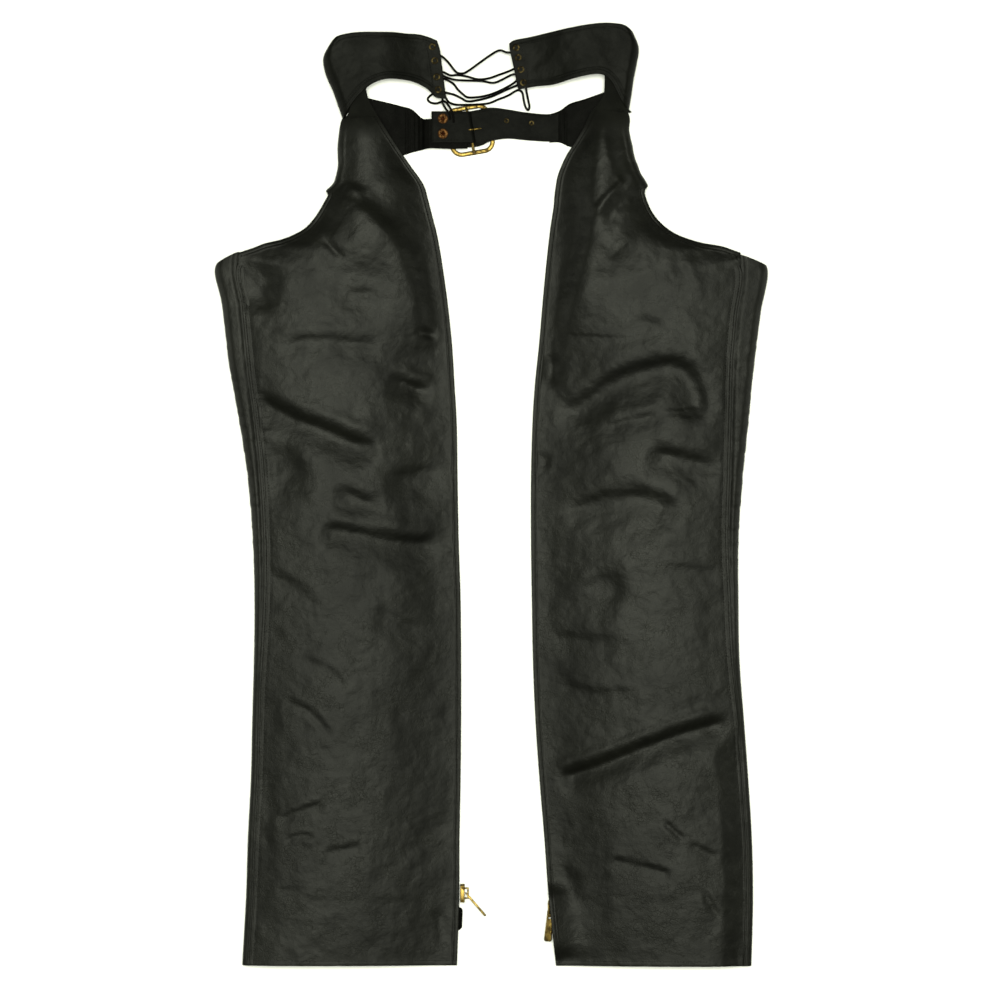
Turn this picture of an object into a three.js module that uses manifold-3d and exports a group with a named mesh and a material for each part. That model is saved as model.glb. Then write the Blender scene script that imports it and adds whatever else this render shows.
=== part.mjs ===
// Leather motorcycle chaps, lying flat with the laced back of the waist uppermost.
// Millimetres, +Z up. X runs across both legs, +Y runs from the hems to the waist,
// and the floor that the chaps lie on is z = 0.
import * as THREE from 'three';
import { mergeVertices } from 'three/addons/utils/BufferGeometryUtils.js';
import Module from 'manifold-3d';

const wasm = await Module();
wasm.setup();

// Overall sizes
const length = 1039;
const halfWidth = 302;
const pile = 34;

// Leather
const wall = 1.6;
const hemWall = 2.6;
const hemWidth = 6.6;
const gap = 0.4;
const seamGap = 1.5;
const lapRise = 2.8;

// Legs
const legFold = 9;
const hipFold = 7;
const hipFlap = 15;
const backInset = 2;

// Yokes and their lacing
const yokeFold = 12;
const laceEdgeHeight = 16.5;
const laceBand = 15;
const yokeFlap = 9;
const eyeletInset = 7.5;
const eyeletFlange = 3.9;
const eyeletBore = 1.9;
const laceThickness = 2.5;

// Belt and buckle
const beltWall = 2.2;
const tongueWall = 2.4;
const billetWall = 2;
const frameWidth = 50;
const frameHeight = 55;
const frameBar = 5;
const frameThickness = 3.2;
const frameTurn = 0.17;
const barRadius = 1.5;
const prongRadius = 1.2;
const rivetRadius = 5.6;
const rivetShank = 1.7;
const rivetCap = 1.1;
const beltEyeletFlange = 2.9;

// Zips
const tapeWall = 0.8;
const tapeReach = 11;
const tapeSetback = 2.7;
const teethDepth = 1.9;
const teethHeight = 1.9;
const sliderLength = 20;
const sliderWidth = 8.8;
const sliderThickness = 4.8;
const crownLength = 12.6;
const crownDepth = 4.6;
const crownBar = 1.6;
const pinRadius = 0.7;
const pullLength = 33;
const pullThickness = 2;
const pullHeadWidth = 7;
const pullEndWidth = 9.6;
const pullWindow = 8.6;
const zipRoom = 9.5;
const zipRoomLength = 36;
const zipRoomShift = 14;

// Derived heights
const tongueHeight = frameThickness + gap + tongueWall / 2;
const billetLow = tongueHeight + tongueWall / 2 + gap + billetWall / 2;
const barHeight = billetLow + billetWall / 2 + gap + barRadius;
const billetHigh = 2 * barHeight - billetLow;
const zipEdge = wall + 2 * gap + 2 * tapeWall + 1 + hemWall / 2;

const colours = {
  leather: [0x24251f, 0.5, 0],
  lining: [0x191a15, 0.75, 0],
  lace: [0x1d1613, 0.8, 0],
  brass: [0xa8924a, 0.35, 1],
  copper: [0x7d4a22, 0.5, 1],
  tape: [0x15150f, 0.9, 0],
};

// Rows of each leg, hem first. out and up are shares of halfWidth and length, given
// for the outer end of the row and for its inner end, along the zip.
const legRows = {
  left: [
    { out: 0.905, outUp: 0.0035, inn: 0.125, innUp: 0.0030 },
    { out: 0.891, outUp: 0.0757, inn: 0.117, innUp: 0.0725 },
    { out: 0.884, outUp: 0.1392, inn: 0.116, innUp: 0.1361 },
    { out: 0.873, outUp: 0.2017, inn: 0.112, innUp: 0.1996 },
    { out: 0.868, outUp: 0.2652, inn: 0.110, innUp: 0.2631 },
    { out: 0.862, outUp: 0.3287, inn: 0.110, innUp: 0.3266 },
    { out: 0.860, outUp: 0.3912, inn: 0.112, innUp: 0.3902 },
    { out: 0.866, outUp: 0.4537, inn: 0.119, innUp: 0.4537 },
    { out: 0.885, outUp: 0.5204, inn: 0.123, innUp: 0.5172 },
    { out: 0.916, outUp: 0.5807, inn: 0.126, innUp: 0.5754 },
    { out: 0.953, outUp: 0.6411, inn: 0.134, innUp: 0.6178 },
    { out: 0.978, outUp: 0.7014, inn: 0.143, innUp: 0.6601 },
    { out: 0.998, outUp: 0.7480, inn: 0.159, innUp: 0.7046 },
    { out: 0.849, outUp: 0.7650, inn: 0.174, innUp: 0.7364 },
    { out: 0.758, outUp: 0.7718, inn: 0.187, innUp: 0.7607 },
    { out: 0.685, outUp: 0.7819, inn: 0.199, innUp: 0.7787 },
    { out: 0.640, outUp: 0.7957, inn: 0.214, innUp: 0.7957 },
    { out: 0.605, outUp: 0.8126, inn: 0.230, innUp: 0.8137 },
    { out: 0.572, outUp: 0.8306, inn: 0.248, innUp: 0.8306 },
    { out: 0.556, outUp: 0.8507, inn: 0.296, innUp: 0.8507 },
    { out: 0.556, outUp: 0.8666, inn: 0.336, innUp: 0.8677 },
    { out: 0.552, outUp: 0.8814, inn: 0.372, innUp: 0.8835 },
    { out: 0.543, outUp: 0.8942, inn: 0.405, innUp: 0.8983 },
    { out: 0.512, outUp: 0.8970, inn: 0.416, innUp: 0.9037 },
    { out: 0.488, outUp: 0.9047, inn: 0.430, innUp: 0.9100 },
    { out: 0.484, outUp: 0.9174, inn: 0.448, innUp: 0.9206 },
    { out: 0.482, outUp: 0.9301, inn: 0.456, innUp: 0.9322 },
  ],
  right: [
    { out: 0.945, outUp: 0.0026, inn: 0.236, innUp: 0.0026 },
    { out: 0.951, outUp: 0.0725, inn: 0.210, innUp: 0.0725 },
    { out: 0.947, outUp: 0.1361, inn: 0.194, innUp: 0.1361 },
    { out: 0.934, outUp: 0.1996, inn: 0.176, innUp: 0.1996 },
    { out: 0.918, outUp: 0.2631, inn: 0.161, innUp: 0.2631 },
    { out: 0.902, outUp: 0.3266, inn: 0.152, innUp: 0.3266 },
    { out: 0.898, outUp: 0.3902, inn: 0.148, innUp: 0.3902 },
    { out: 0.898, outUp: 0.4537, inn: 0.145, innUp: 0.4537 },
    { out: 0.913, outUp: 0.5172, inn: 0.145, innUp: 0.5172 },
    { out: 0.933, outUp: 0.5754, inn: 0.150, innUp: 0.5754 },
    { out: 0.953, outUp: 0.6337, inn: 0.159, innUp: 0.6178 },
    { out: 0.978, outUp: 0.6919, inn: 0.174, innUp: 0.6601 },
    { out: 1.000, outUp: 0.7459, inn: 0.188, innUp: 0.7078 },
    { out: 0.869, outUp: 0.7618, inn: 0.199, innUp: 0.7417 },
    { out: 0.760, outUp: 0.7681, inn: 0.208, innUp: 0.7660 },
    { out: 0.669, outUp: 0.7777, inn: 0.217, innUp: 0.7872 },
    { out: 0.603, outUp: 0.7935, inn: 0.227, innUp: 0.8062 },
    { out: 0.565, outUp: 0.8137, inn: 0.232, innUp: 0.8221 },
    { out: 0.545, outUp: 0.8391, inn: 0.243, innUp: 0.8401 },
    { out: 0.520, outUp: 0.8581, inn: 0.272, innUp: 0.8602 },
    { out: 0.510, outUp: 0.8729, inn: 0.305, innUp: 0.8751 },
    { out: 0.500, outUp: 0.8878, inn: 0.338, innUp: 0.8909 },
    { out: 0.501, outUp: 0.8984, inn: 0.360, innUp: 0.9047 },
    { out: 0.471, outUp: 0.9037, inn: 0.378, innUp: 0.9111 },
    { out: 0.449, outUp: 0.9111, inn: 0.392, innUp: 0.9164 },
    { out: 0.440, outUp: 0.9217, inn: 0.410, innUp: 0.9259 },
    { out: 0.434, outUp: 0.9470, inn: 0.412, innUp: 0.9491 },
  ],
};

// Which rows of a leg are the tube, the scoop, the rolled hip and the end under the yoke
const hemRowShare = hemWidth / (0.07 * length);
const firstFoldRow = 6;
const lastTubeRow = 12;
const firstHipRow = 18;
const lastHipRow = 22;

// Where the seam lies in from the outline, as shares of halfWidth, by height
const seamInset = {
  left: [[0, 0.012], [0.3, 0.016], [0.4, 0.030], [0.52, 0.042], [0.65, 0.066], [0.748, 0.074]],
  right: [[0, 0.006], [0.26, 0.010], [0.33, 0.018], [0.4, 0.026], [0.52, 0.044], [0.65, 0.078], [0.746, 0.092]],
};

// How high the leather stands over the middle of a row, as a share of pile, by height
const crowns = [
  [0, 0.2], [0.08, 0.3], [0.3, 0.34], [0.55, 0.36], [0.72, 0.38], [0.8, 0.34], [0.86, 0.2], [1, 0.06],
];

// Folds and valleys in the upper leather: three points, depth as a share of pile
// (a ridge is below zero) and half width as a share of halfWidth.
const folds = {
  left: [
    { x1: 0.522, y1: 0.823, x2: 0.333, y2: 0.786, x3: 0.208, y3: 0.672, depth: 0.2, half: 0.034 },
    { x1: 0.59, y1: 0.832, x2: 0.53, y2: 0.829, x3: 0.465, y3: 0.816, depth: -0.16, half: 0.022 },
    { x1: 0.853, y1: 0.614, x2: 0.663, y2: 0.583, x3: 0.354, y3: 0.55, depth: 0.16, half: 0.032 },
    { x1: 0.78, y1: 0.753, x2: 0.784, y2: 0.72, x3: 0.78, y3: 0.686, depth: 0.12, half: 0.028 },
    { x1: 0.66, y1: 0.466, x2: 0.43, y2: 0.462, x3: 0.194, y3: 0.458, depth: 0.1, half: 0.028 },
    { x1: 0.394, y1: 0.629, x2: 0.29, y2: 0.624, x3: 0.187, y3: 0.616, depth: 0.09, half: 0.024 },
  ],
  right: [
    { x1: 0.4, y1: 0.803, x2: 0.29, y2: 0.74, x3: 0.264, y3: 0.682, depth: 0.2, half: 0.036 },
    { x1: 0.54, y1: 0.848, x2: 0.46, y2: 0.832, x3: 0.39, y3: 0.806, depth: -0.16, half: 0.024 },
    { x1: 0.2, y1: 0.596, x2: 0.55, y2: 0.646, x3: 0.77, y3: 0.586, depth: 0.17, half: 0.034 },
    { x1: 0.36, y1: 0.58, x2: 0.47, y2: 0.588, x3: 0.57, y3: 0.59, depth: 0.1, half: 0.026 },
    { x1: 0.24, y1: 0.205, x2: 0.56, y2: 0.236, x3: 0.87, y3: 0.268, depth: 0.15, half: 0.026 },
    { x1: 0.23, y1: 0.486, x2: 0.46, y2: 0.506, x3: 0.7, y3: 0.497, depth: 0.08, half: 0.026 },
  ],
};

// Outline of each yoke as shares of halfWidth and length
const yokeEdges = {
  left: {
    lower: [[0.162, 0.9206], [0.201, 0.9217], [0.230, 0.9301], [0.277, 0.9375], [0.332, 0.9407],
      [0.386, 0.9407], [0.434, 0.9354], [0.470, 0.9270], [0.507, 0.9142], [0.538, 0.8994]],
    upper: [[0.197, 0.9820], [0.223, 0.9852], [0.259, 0.9883], [0.314, 0.9894], [0.361, 0.9905],
      [0.412, 0.9905], [0.470, 0.9905], [0.514, 0.9894], [0.557, 0.9862], [0.579, 0.9810]],
    lace: [[0.162, 0.9206], [0.168, 0.9301], [0.173, 0.9420], [0.180, 0.9577], [0.187, 0.9725], [0.197, 0.9820]],
    hip: [[0.538, 0.8994], [0.555, 0.9132], [0.573, 0.9280], [0.602, 0.9476], [0.609, 0.9640], [0.579, 0.9810]],
  },
  right: {
    lower: [[0.098, 0.9301], [0.160, 0.9333], [0.230, 0.9354], [0.290, 0.9407], [0.350, 0.9449],
      [0.395, 0.9460], [0.421, 0.9428], [0.440, 0.9365], [0.468, 0.9206], [0.497, 0.9068]],
    upper: [[0.065, 0.9788], [0.080, 0.9820], [0.141, 0.9857], [0.214, 0.9905], [0.280, 0.9947],
      [0.340, 0.9979], [0.397, 1.0], [0.440, 1.0], [0.483, 0.9979], [0.512, 0.9915]],
    lace: [[0.098, 0.9301], [0.092, 0.9375], [0.084, 0.9502], [0.075, 0.9619], [0.067, 0.9725], [0.065, 0.9788]],
    hip: [[0.497, 0.9068], [0.506, 0.9217], [0.515, 0.9396], [0.527, 0.9576], [0.534, 0.9746], [0.512, 0.9915]],
  },
};

// Share of the way up the lace edge of each lacing eyelet
const eyeletPlaces = [0.2, 0.42, 0.64, 0.86];

// Belt base: from the hip seam inward, lower and upper edge and height above the floor
const beltBaseColumns = {
  left: [
    { out: 0.467, low: 0.8645, high: 0.9235, rise: 0 },
    { out: 0.387, low: 0.862, high: 0.918, rise: 0 },
    { out: 0.332, low: 0.861, high: 0.914, rise: 0 },
    { out: 0.288, low: 0.8645, high: 0.910, rise: 0.08 },
    { out: 0.252, low: 0.867, high: 0.9005, rise: 0.4 },
    { out: 0.220, low: 0.8695, high: 0.8995, rise: 1 },
    { out: 0.150, low: 0.8700, high: 0.8990, rise: 1 },
  ],
  right: [
    { out: 0.4255, low: 0.8675, high: 0.930, rise: 0 },
    { out: 0.345, low: 0.867, high: 0.9217, rise: 0 },
    { out: 0.287, low: 0.8705, high: 0.9164, rise: 0 },
    { out: 0.250, low: 0.875, high: 0.909, rise: 0 },
    { out: 0.212, low: 0.875, high: 0.905, rise: 0 },
  ],
};

// Belt tongue, from the right base through the buckle to its tip behind the billet
const tongueColumns = [
  { across: 0.248, low: 0.8765, high: 0.9065, rise: 0 },
  { across: 0.200, low: 0.8760, high: 0.9050, rise: 0.1 },
  { across: 0.123, low: 0.8775, high: 0.9070, rise: 0.6 },
  { across: 0.060, low: 0.8790, high: 0.9100, rise: 1 },
  { across: 0.000, low: 0.8765, high: 0.9120, rise: 1 },
  { across: -0.060, low: 0.8755, high: 0.9090, rise: 1 },
  { across: -0.130, low: 0.8770, high: 0.9050, rise: 1 },
  { across: -0.190, low: 0.8800, high: 0.9010, rise: 1 },
];

const billetSpan = { out: 0.218, low: 0.874, high: 0.9075 };
const buckleCentre = { across: -0.077, up: 0.888 };
const rivetPlaces = [{ out: 0.176, up: 0.8997 }, { out: 0.176, up: 0.8837 }];
const beltEyeletPlaces = [{ across: 0.056, up: 0.898 }, { across: 0.147, up: 0.8955 }];

// Route of the lace: across and up as shares of halfWidth and length, and height in mm
const laceRoute = [
  [-0.136, 0.8953, 16.6], [-0.140, 0.9037, 16.6], [-0.150, 0.9110, 16.4], [-0.172, 0.9182, 10.6],
  [-0.199, 0.9163, 6.6], [-0.221, 0.9174, 4.2], [-0.232, 0.9208, 3.6], [-0.225, 0.9240, 4.4],
  [-0.205, 0.9275, 6.6], [-0.183, 0.9291, 7.6], [-0.163, 0.9275, 7.2], [-0.137, 0.9257, 6.2],
  [-0.111, 0.9222, 5.2], [-0.088, 0.9187, 4.6], [-0.045, 0.9201, 4.6], [0.003, 0.9239, 5.2],
  [0.053, 0.9305, 6.2], [0.094, 0.9354, 7.2], [0.116, 0.9391, 7.6], [0.121, 0.9425, 8.2],
  [0.108, 0.9445, 9.6], [0.086, 0.9385, 10.2], [0.050, 0.9322, 9.6], [0.003, 0.9262, 8.4],
  [-0.045, 0.9230, 7.8], [-0.088, 0.9228, 8.4], [-0.102, 0.9255, 8.8], [-0.121, 0.9305, 9.2],
  [-0.137, 0.9365, 9.4], [-0.165, 0.9415, 9.6], [-0.186, 0.9440, 9.0], [-0.192, 0.9475, 8.0],
  [-0.178, 0.9495, 7.0], [-0.148, 0.9460, 6.2], [-0.125, 0.9464, 5.6], [-0.090, 0.9450, 5.0],
  [-0.048, 0.9419, 5.0], [-0.008, 0.9430, 5.6], [0.025, 0.9463, 6.2], [0.076, 0.9519, 7.2],
  [0.103, 0.9563, 8.2], [0.112, 0.9620, 10.6], [0.100, 0.9672, 12.6], [0.078, 0.9696, 12.6],
  [0.057, 0.9698, 12.4], [0.030, 0.9722, 10.2], [-0.008, 0.9662, 10], [-0.045, 0.9586, 9.8],
  [-0.085, 0.9503, 9.8], [-0.103, 0.9478, 10], [-0.125, 0.9487, 10.4], [-0.161, 0.9609, 10.8],
  [-0.185, 0.9662, 12], [-0.205, 0.9640, 12.4], [-0.212, 0.9580, 12.4], [-0.203, 0.9505, 12.4],
  [-0.180, 0.9460, 12], [-0.139, 0.9413, 11.2], [-0.092, 0.9404, 9.4], [-0.034, 0.9398, 8.4],
  [0.010, 0.9380, 8.4], [0.040, 0.9414, 9.2], [0.083, 0.9468, 10.8], [0.110, 0.9440, 11.8],
  [0.122, 0.9380, 12.2], [0.128, 0.9290, 11.6], [0.134, 0.9200, 9.8], [0.139, 0.9121, 8.6],
  [0.134, 0.9092, 8.2], [0.125, 0.9122, 8.2], [0.118, 0.9200, 8.2], [0.112, 0.9280, 8],
  [0.098, 0.9303, 7], [0.061, 0.9246, 6.2], [0.025, 0.9205, 5.4], [-0.008, 0.9166, 5.6],
  [-0.055, 0.9150, 7.4], [-0.103, 0.9146, 8.4], [-0.137, 0.9152, 8.8], [-0.156, 0.9178, 10.6],
  [-0.172, 0.9240, 13.5], [-0.178, 0.9175, 13.6], [-0.168, 0.9110, 16.6], [-0.153, 0.9045, 16.6],
  [-0.149, 0.8985, 16.6],
];

// Zips: where tape, teeth and slider lie, as shares of length
const zips = {
  left: { top: 0.69, tapeEnd: 0.038, slider: 0.0794, bulgeTop: 0.066, bulge: 6.4, tilt: 0, pullAngle: -0.86, pinShift: 0 },
  right: { top: 0.69, tapeEnd: 0.082, slider: 0.0635, bulgeTop: 0, bulge: 0, tilt: 0.87, pullAngle: -1.45, pinShift: -3.4 },
};

const smooth = (t) => {
  const k = Math.min(1, Math.max(0, t));
  return k * k * (3 - 2 * k);
};
const mix = (a, b, t) => a + (b - a) * t;
const signOf = (side) => (side === 'left' ? -1 : 1);

// Value of a two-column table at t, straight between its rows
function readTable(table, t) {
  for (let i = 1; i < table.length; i += 1) {
    if (t <= table[i][0]) {
      const k = (t - table[i - 1][0]) / (table[i][0] - table[i - 1][0]);
      return mix(table[i - 1][1], table[i][1], Math.max(0, k));
    }
  }
  return table[table.length - 1][1];
}

// Point at share t along an open curve through the rows of a table
function alongCurve(points, t) {
  const curve = points.curve ?? new THREE.CatmullRomCurve3(
    points.map(([a, b]) => new THREE.Vector3(a * halfWidth, (b - 0.5) * length, 0)), false, 'centripetal');
  points.curve = curve;
  return curve.getPoint(Math.min(1, Math.max(0, t)));
}

// Smooth value of one column of a row table at row position k
function rowValue(rows, name, k) {
  const i = Math.min(rows.length - 2, Math.max(0, Math.floor(k)));
  const t = k - i;
  const a = rows[Math.max(0, i - 1)][name];
  const b = rows[i][name];
  const c = rows[i + 1][name];
  const d = rows[Math.min(rows.length - 1, i + 2)][name];
  return 0.5 * (2 * b + (c - a) * t + (2 * a - 5 * b + 4 * c - d) * t * t + (3 * b - 3 * c + d - a) * t * t * t);
}

// Depth of the folds at one place of a leg
function foldDepth(side, x, y) {
  let depth = 0;
  for (const f of folds[side]) {
    const half = f.half * halfWidth;
    const pts = [[f.x1, f.y1], [f.x2, f.y2], [f.x3, f.y3]].map(([a, b]) => [a * halfWidth, (b - 0.5) * length]);
    let best = Infinity;
    for (let i = 0; i < 2; i += 1) {
      const [ax, ay] = pts[i];
      const [bx, by] = pts[i + 1];
      const t = Math.min(1, Math.max(0, ((x - ax) * (bx - ax) + (y - ay) * (by - ay)) / ((bx - ax) ** 2 + (by - ay) ** 2)));
      best = Math.min(best, Math.hypot(x - mix(ax, bx, t), y - mix(ay, by, t)));
    }
    depth += f.depth * pile * Math.exp(-((best / half) ** 2));
  }
  return depth;
}

// Place of a yoke edge at height y, as a distance from the middle plane
function edgeAt(curvePoints, y) {
  let low = 0;
  let high = 1;
  for (let i = 0; i < 24; i += 1) {
    const t = (low + high) / 2;
    if (alongCurve(curvePoints, t).y < y) {
      low = t;
    } else {
      high = t;
    }
  }
  return alongCurve(curvePoints, low).x;
}

// Height of the middle of a yoke's upper leather at distance x from the middle plane
function yokeHeight(side, x, y) {
  const edges = yokeEdges[side];
  const lace = edgeAt(edges.lace, y) + laceBand;
  const hip = edgeAt(edges.hip, y) - yokeFold;
  const s = Math.min(1, Math.max(0, (x - lace) / (hip - lace)));
  const swell = 0.14 * pile * Math.sin(Math.PI * s) ** 2;
  return mix(laceEdgeHeight, 2 * yokeFold + wall / 2, smooth(s)) + swell;
}

// Measures of one cross section of a leg at row position k
function legSection(side, k) {
  const rows = legRows[side];
  const out = rowValue(rows, 'out', k) * halfWidth;
  const inn = rowValue(rows, 'inn', k) * halfWidth;
  const outY = (rowValue(rows, 'outUp', k) - 0.5) * length;
  const innY = (rowValue(rows, 'innUp', k) - 0.5) * length;
  const up = outY / length + 0.5;
  const tube = 1 - smooth((k - lastTubeRow) / 0.9);
  const hip = smooth((k - firstHipRow + 0.7) / 0.9) * (1 - smooth((k - lastHipRow) / 0.8));
  const fold = mix(legFold, hipFold, smooth((k - lastTubeRow - 1) / 3));
  const tangent = out - fold * Math.max(tube, hip);
  return { side, k, out, inn, outY, innY, up, tube, hip, fold, tangent, near: tangent - inn };
}

// Room for the slider that the hidden zip end needs under the edge
function edgeLift(side, y) {
  const z = zips[side];
  const away = (y + zipRoomShift - (z.slider - 0.5) * length) / zipRoomLength;
  return z.tilt > 0 ? zipRoom * Math.exp(-(away ** 6)) : 0;
}

// Point of the leg's leather at distance d round the section from the zip edge.
// Past near it turns round the fold, and past the fold it lies on the floor.
function legPoint(sec, d, thickness) {
  const turn = Math.PI * sec.fold;
  const sign = signOf(sec.side);
  const s = Math.min(1, d / sec.near);
  if (d <= sec.near) {
    const x = mix(sec.inn, sec.tangent, s);
    const y = mix(sec.innY, sec.outY, s);
    const edge = zipEdge + edgeLift(sec.side, y) * Math.exp(-((d / 22) ** 2));
    const crown = readTable(crowns, y / length + 0.5) * pile * Math.sin(Math.PI * s) ** 0.8;
    const dent = foldDepth(sec.side, x, y) * smooth((1 - s) * sec.near / 26) * smooth(d / 30);
    let z = mix(edge, 2 * sec.fold + wall / 2, smooth(s)) + crown - dent;
    const under = smooth((sec.k - lastHipRow + 0.2) / 1.4);
    if (under > 0) {
      z = mix(z, yokeHeight(sec.side, x, y) - lapRise, under);
    }
    return new THREE.Vector3(sign * x, y, z);
  }
  if (d <= sec.near + turn) {
    const a = (d - sec.near) / sec.fold;
    const low = smooth(a / Math.PI) * (thickness - wall) / 2;
    return new THREE.Vector3(
      sign * (sec.tangent + sec.fold * Math.sin(a)), sec.outY, sec.fold + wall / 2 + sec.fold * Math.cos(a) + low);
  }
  const back = d - sec.near - turn;
  const share = back / (sec.tangent - sec.inn);
  return new THREE.Vector3(sign * (sec.tangent - back), mix(sec.outY, sec.innY, share), thickness / 2);
}

// Distance round the section at which the lapped seam joins the two panels
function seamDistance(sec) {
  const inset = readTable(seamInset[sec.side], sec.up) * halfWidth;
  if (inset >= sec.fold) {
    return sec.near - (inset - sec.fold);
  }
  return sec.near + sec.fold * Math.asin(1 - inset / sec.fold);
}

// Closed leather shell on a grid of middle points. thicknessAt and pointAt take the
// row and the column, and flip turns the faces for the mirrored side.
function shell(rowCount, columnCount, pointAt, thicknessAt, flip) {
  const pts = [];
  for (let i = 0; i <= rowCount; i += 1) {
    pts.push([]);
    for (let j = 0; j <= columnCount; j += 1) {
      pts[i].push(pointAt(i, j));
    }
  }
  const positions = [];
  const stride = columnCount + 1;
  const layer = (rowCount + 1) * stride;
  for (const face of [1, -1]) {
    for (let i = 0; i <= rowCount; i += 1) {
      for (let j = 0; j <= columnCount; j += 1) {
        const a = pts[Math.min(rowCount, i + 1)][j].clone().sub(pts[Math.max(0, i - 1)][j]);
        const b = pts[i][Math.min(columnCount, j + 1)].clone().sub(pts[i][Math.max(0, j - 1)]);
        const normal = b.cross(a).normalize().multiplyScalar(flip ? -1 : 1);
        const p = pts[i][j].clone().addScaledVector(normal, face * thicknessAt(i, j) / 2);
        positions.push(p.x, p.y, p.z);
      }
    }
  }
  const index = [];
  const quad = (a, b, c, d, turn) => {
    if (turn) {
      index.push(a, c, b, a, d, c);
    } else {
      index.push(a, b, c, a, c, d);
    }
  };
  for (let i = 0; i < rowCount; i += 1) {
    for (let j = 0; j < columnCount; j += 1) {
      const a = i * stride + j;
      quad(a, a + 1, a + stride + 1, a + stride, flip);
      quad(layer + a, layer + a + 1, layer + a + stride + 1, layer + a + stride, !flip);
    }
  }
  for (let j = 0; j < columnCount; j += 1) {
    quad(j, layer + j, layer + j + 1, j + 1, flip);
    const b = rowCount * stride + j;
    quad(b, layer + b, layer + b + 1, b + 1, !flip);
  }
  for (let i = 0; i < rowCount; i += 1) {
    const a = i * stride;
    quad(a, layer + a, layer + a + stride, a + stride, !flip);
    const b = a + columnCount;
    quad(b, layer + b, layer + b + stride, b + stride, flip);
  }
  const geometry = new THREE.BufferGeometry();
  geometry.setAttribute('position', new THREE.Float32BufferAttribute(positions, 3));
  geometry.setIndex(index);
  return geometry;
}

// Closed meshes as solids, and back again
function toSolid(geometry) {
  const bare = geometry.clone();
  bare.deleteAttribute('normal');
  bare.deleteAttribute('uv');
  const merged = mergeVertices(bare, 1e-4);
  return new wasm.Manifold(new wasm.Mesh({
    numProp: 3,
    vertProperties: new Float32Array(merged.attributes.position.array),
    triVerts: new Uint32Array(merged.index.array),
  }));
}

function toGeometry(solid) {
  const mesh = solid.getMesh();
  const geometry = new THREE.BufferGeometry();
  geometry.setAttribute('position', new THREE.BufferAttribute(new Float32Array(mesh.vertProperties), 3));
  geometry.setIndex(new THREE.BufferAttribute(new Uint32Array(mesh.triVerts), 1));
  return geometry;
}

// Upright round peg used to punch holes
function punch(x, y, z, radius, height) {
  const peg = new THREE.CylinderGeometry(radius, radius, height, 8);
  peg.rotateX(Math.PI / 2);
  peg.translate(x, y, z);
  return toSolid(peg);
}

// Row positions of a leg: a hem row, then more rows between where the folds are
function rowPositions(last, lowSteps, foldSteps) {
  const places = [0, hemRowShare];
  for (let k = 0; k < last; k += 1) {
    const folded = (k >= firstFoldRow && k < lastTubeRow + 1) || k === 0;
    const steps = folded ? foldSteps : lowSteps + (k === 1 ? 1 : 0);
    for (let i = k === 0 ? 1 : 0; i < steps; i += 1) {
      places.push(k + i / steps);
    }
  }
  places.push(last);
  return places;
}

// Upper panel of a leg, from the zip edge to the seam, and round the hip above it
function upperPanel(side) {
  const lastRow = legRows[side].length - 1;
  const places = rowPositions(lastRow, 1, 4);
  const columns = 10;
  const sections = places.map((k) => legSection(side, k));
  const reach = sections.map((sec) => {
    const tubeEnd = mix(sec.near, seamDistance(sec) - seamGap / 2, sec.tube);
    return tubeEnd + sec.hip * (Math.PI * sec.fold + hipFlap);
  });
  const distanceAt = (i, j) => {
    const whole = reach[i];
    const hem = Math.min(hemWidth, whole / columns);
    if (j <= 1) {
      return hem * j;
    }
    if (j >= columns - 1) {
      return whole - hem * (columns - j);
    }
    return mix(hem, whole - hem, (j - 1) / (columns - 2));
  };
  const thicknessAt = (i, j) => {
    const turned = i <= 1 || j <= 1 || (j >= columns - 1 && sections[i].hip < 0.5);
    return turned && sections[i].k < lastHipRow - 1 ? hemWall : wall;
  };
  const pointAt = (i, j) => legPoint(sections[i], distanceAt(i, j), wall);
  return shell(places.length - 1, columns, pointAt, thicknessAt, side === 'left');
}

// Lower panel of a leg: from the seam round the fold and back along the floor to the zip
function lowerPanel(side) {
  const places = rowPositions(lastTubeRow, 1, 4);
  const foldSteps = 4;
  const floorSteps = 1;
  const sections = places.map((k) => legSection(side, k));
  const pointAt = (i, j) => {
    const sec = sections[i];
    const start = seamDistance(sec) + seamGap / 2;
    const turned = sec.near + Math.PI * sec.fold;
    const end = turned + sec.near - backInset;
    const d = j <= foldSteps ? mix(start, turned, j / foldSteps) : mix(turned, end, (j - foldSteps) / floorSteps);
    return legPoint(sec, d, wall);
  };
  return shell(places.length - 1, foldSteps + floorSteps, pointAt, () => wall, side === 'left');
}

// Where the rolled hip leather ends on the floor, and the front hip leather begins
function hipSeam(side, k) {
  const sec = legSection(side, k);
  return sec.tangent - hipFlap * sec.hip;
}

// Front of the hip, hidden under the upper leather: joins the lower panel to the belt base
function frontHip(side) {
  const scoopSetback = 9;
  const lap = 10;
  const places = [[lastTubeRow, -lap, 1], [lastTubeRow, 3, 1], [lastTubeRow + 0.6, 3, 0]];
  for (let k = lastTubeRow + 1; k <= firstHipRow + 1; k += 1) {
    places.push([k, 0, 0]);
  }
  places.push([firstHipRow + 1.3, 0, 0]);
  const columns = 3;
  const pointAt = (i, j) => {
    const [k, shift, raise] = places[i];
    const sec = legSection(side, k);
    const outer = sec.hip > 0.5 ? hipSeam(side, k) - seamGap : sec.out - scoopSetback * (1 + 2 * sec.tube);
    const x = mix(sec.inn + backInset, outer, j / columns);
    const share = (x - sec.inn) / (sec.out - sec.inn);
    const z = mix(wall / 2, wall * 1.5 + gap, raise);
    return new THREE.Vector3(signOf(side) * x, mix(sec.innY, sec.outY, share) + shift, z);
  };
  return shell(places.length - 1, columns, pointAt, () => wall, side === 'left');
}

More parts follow.
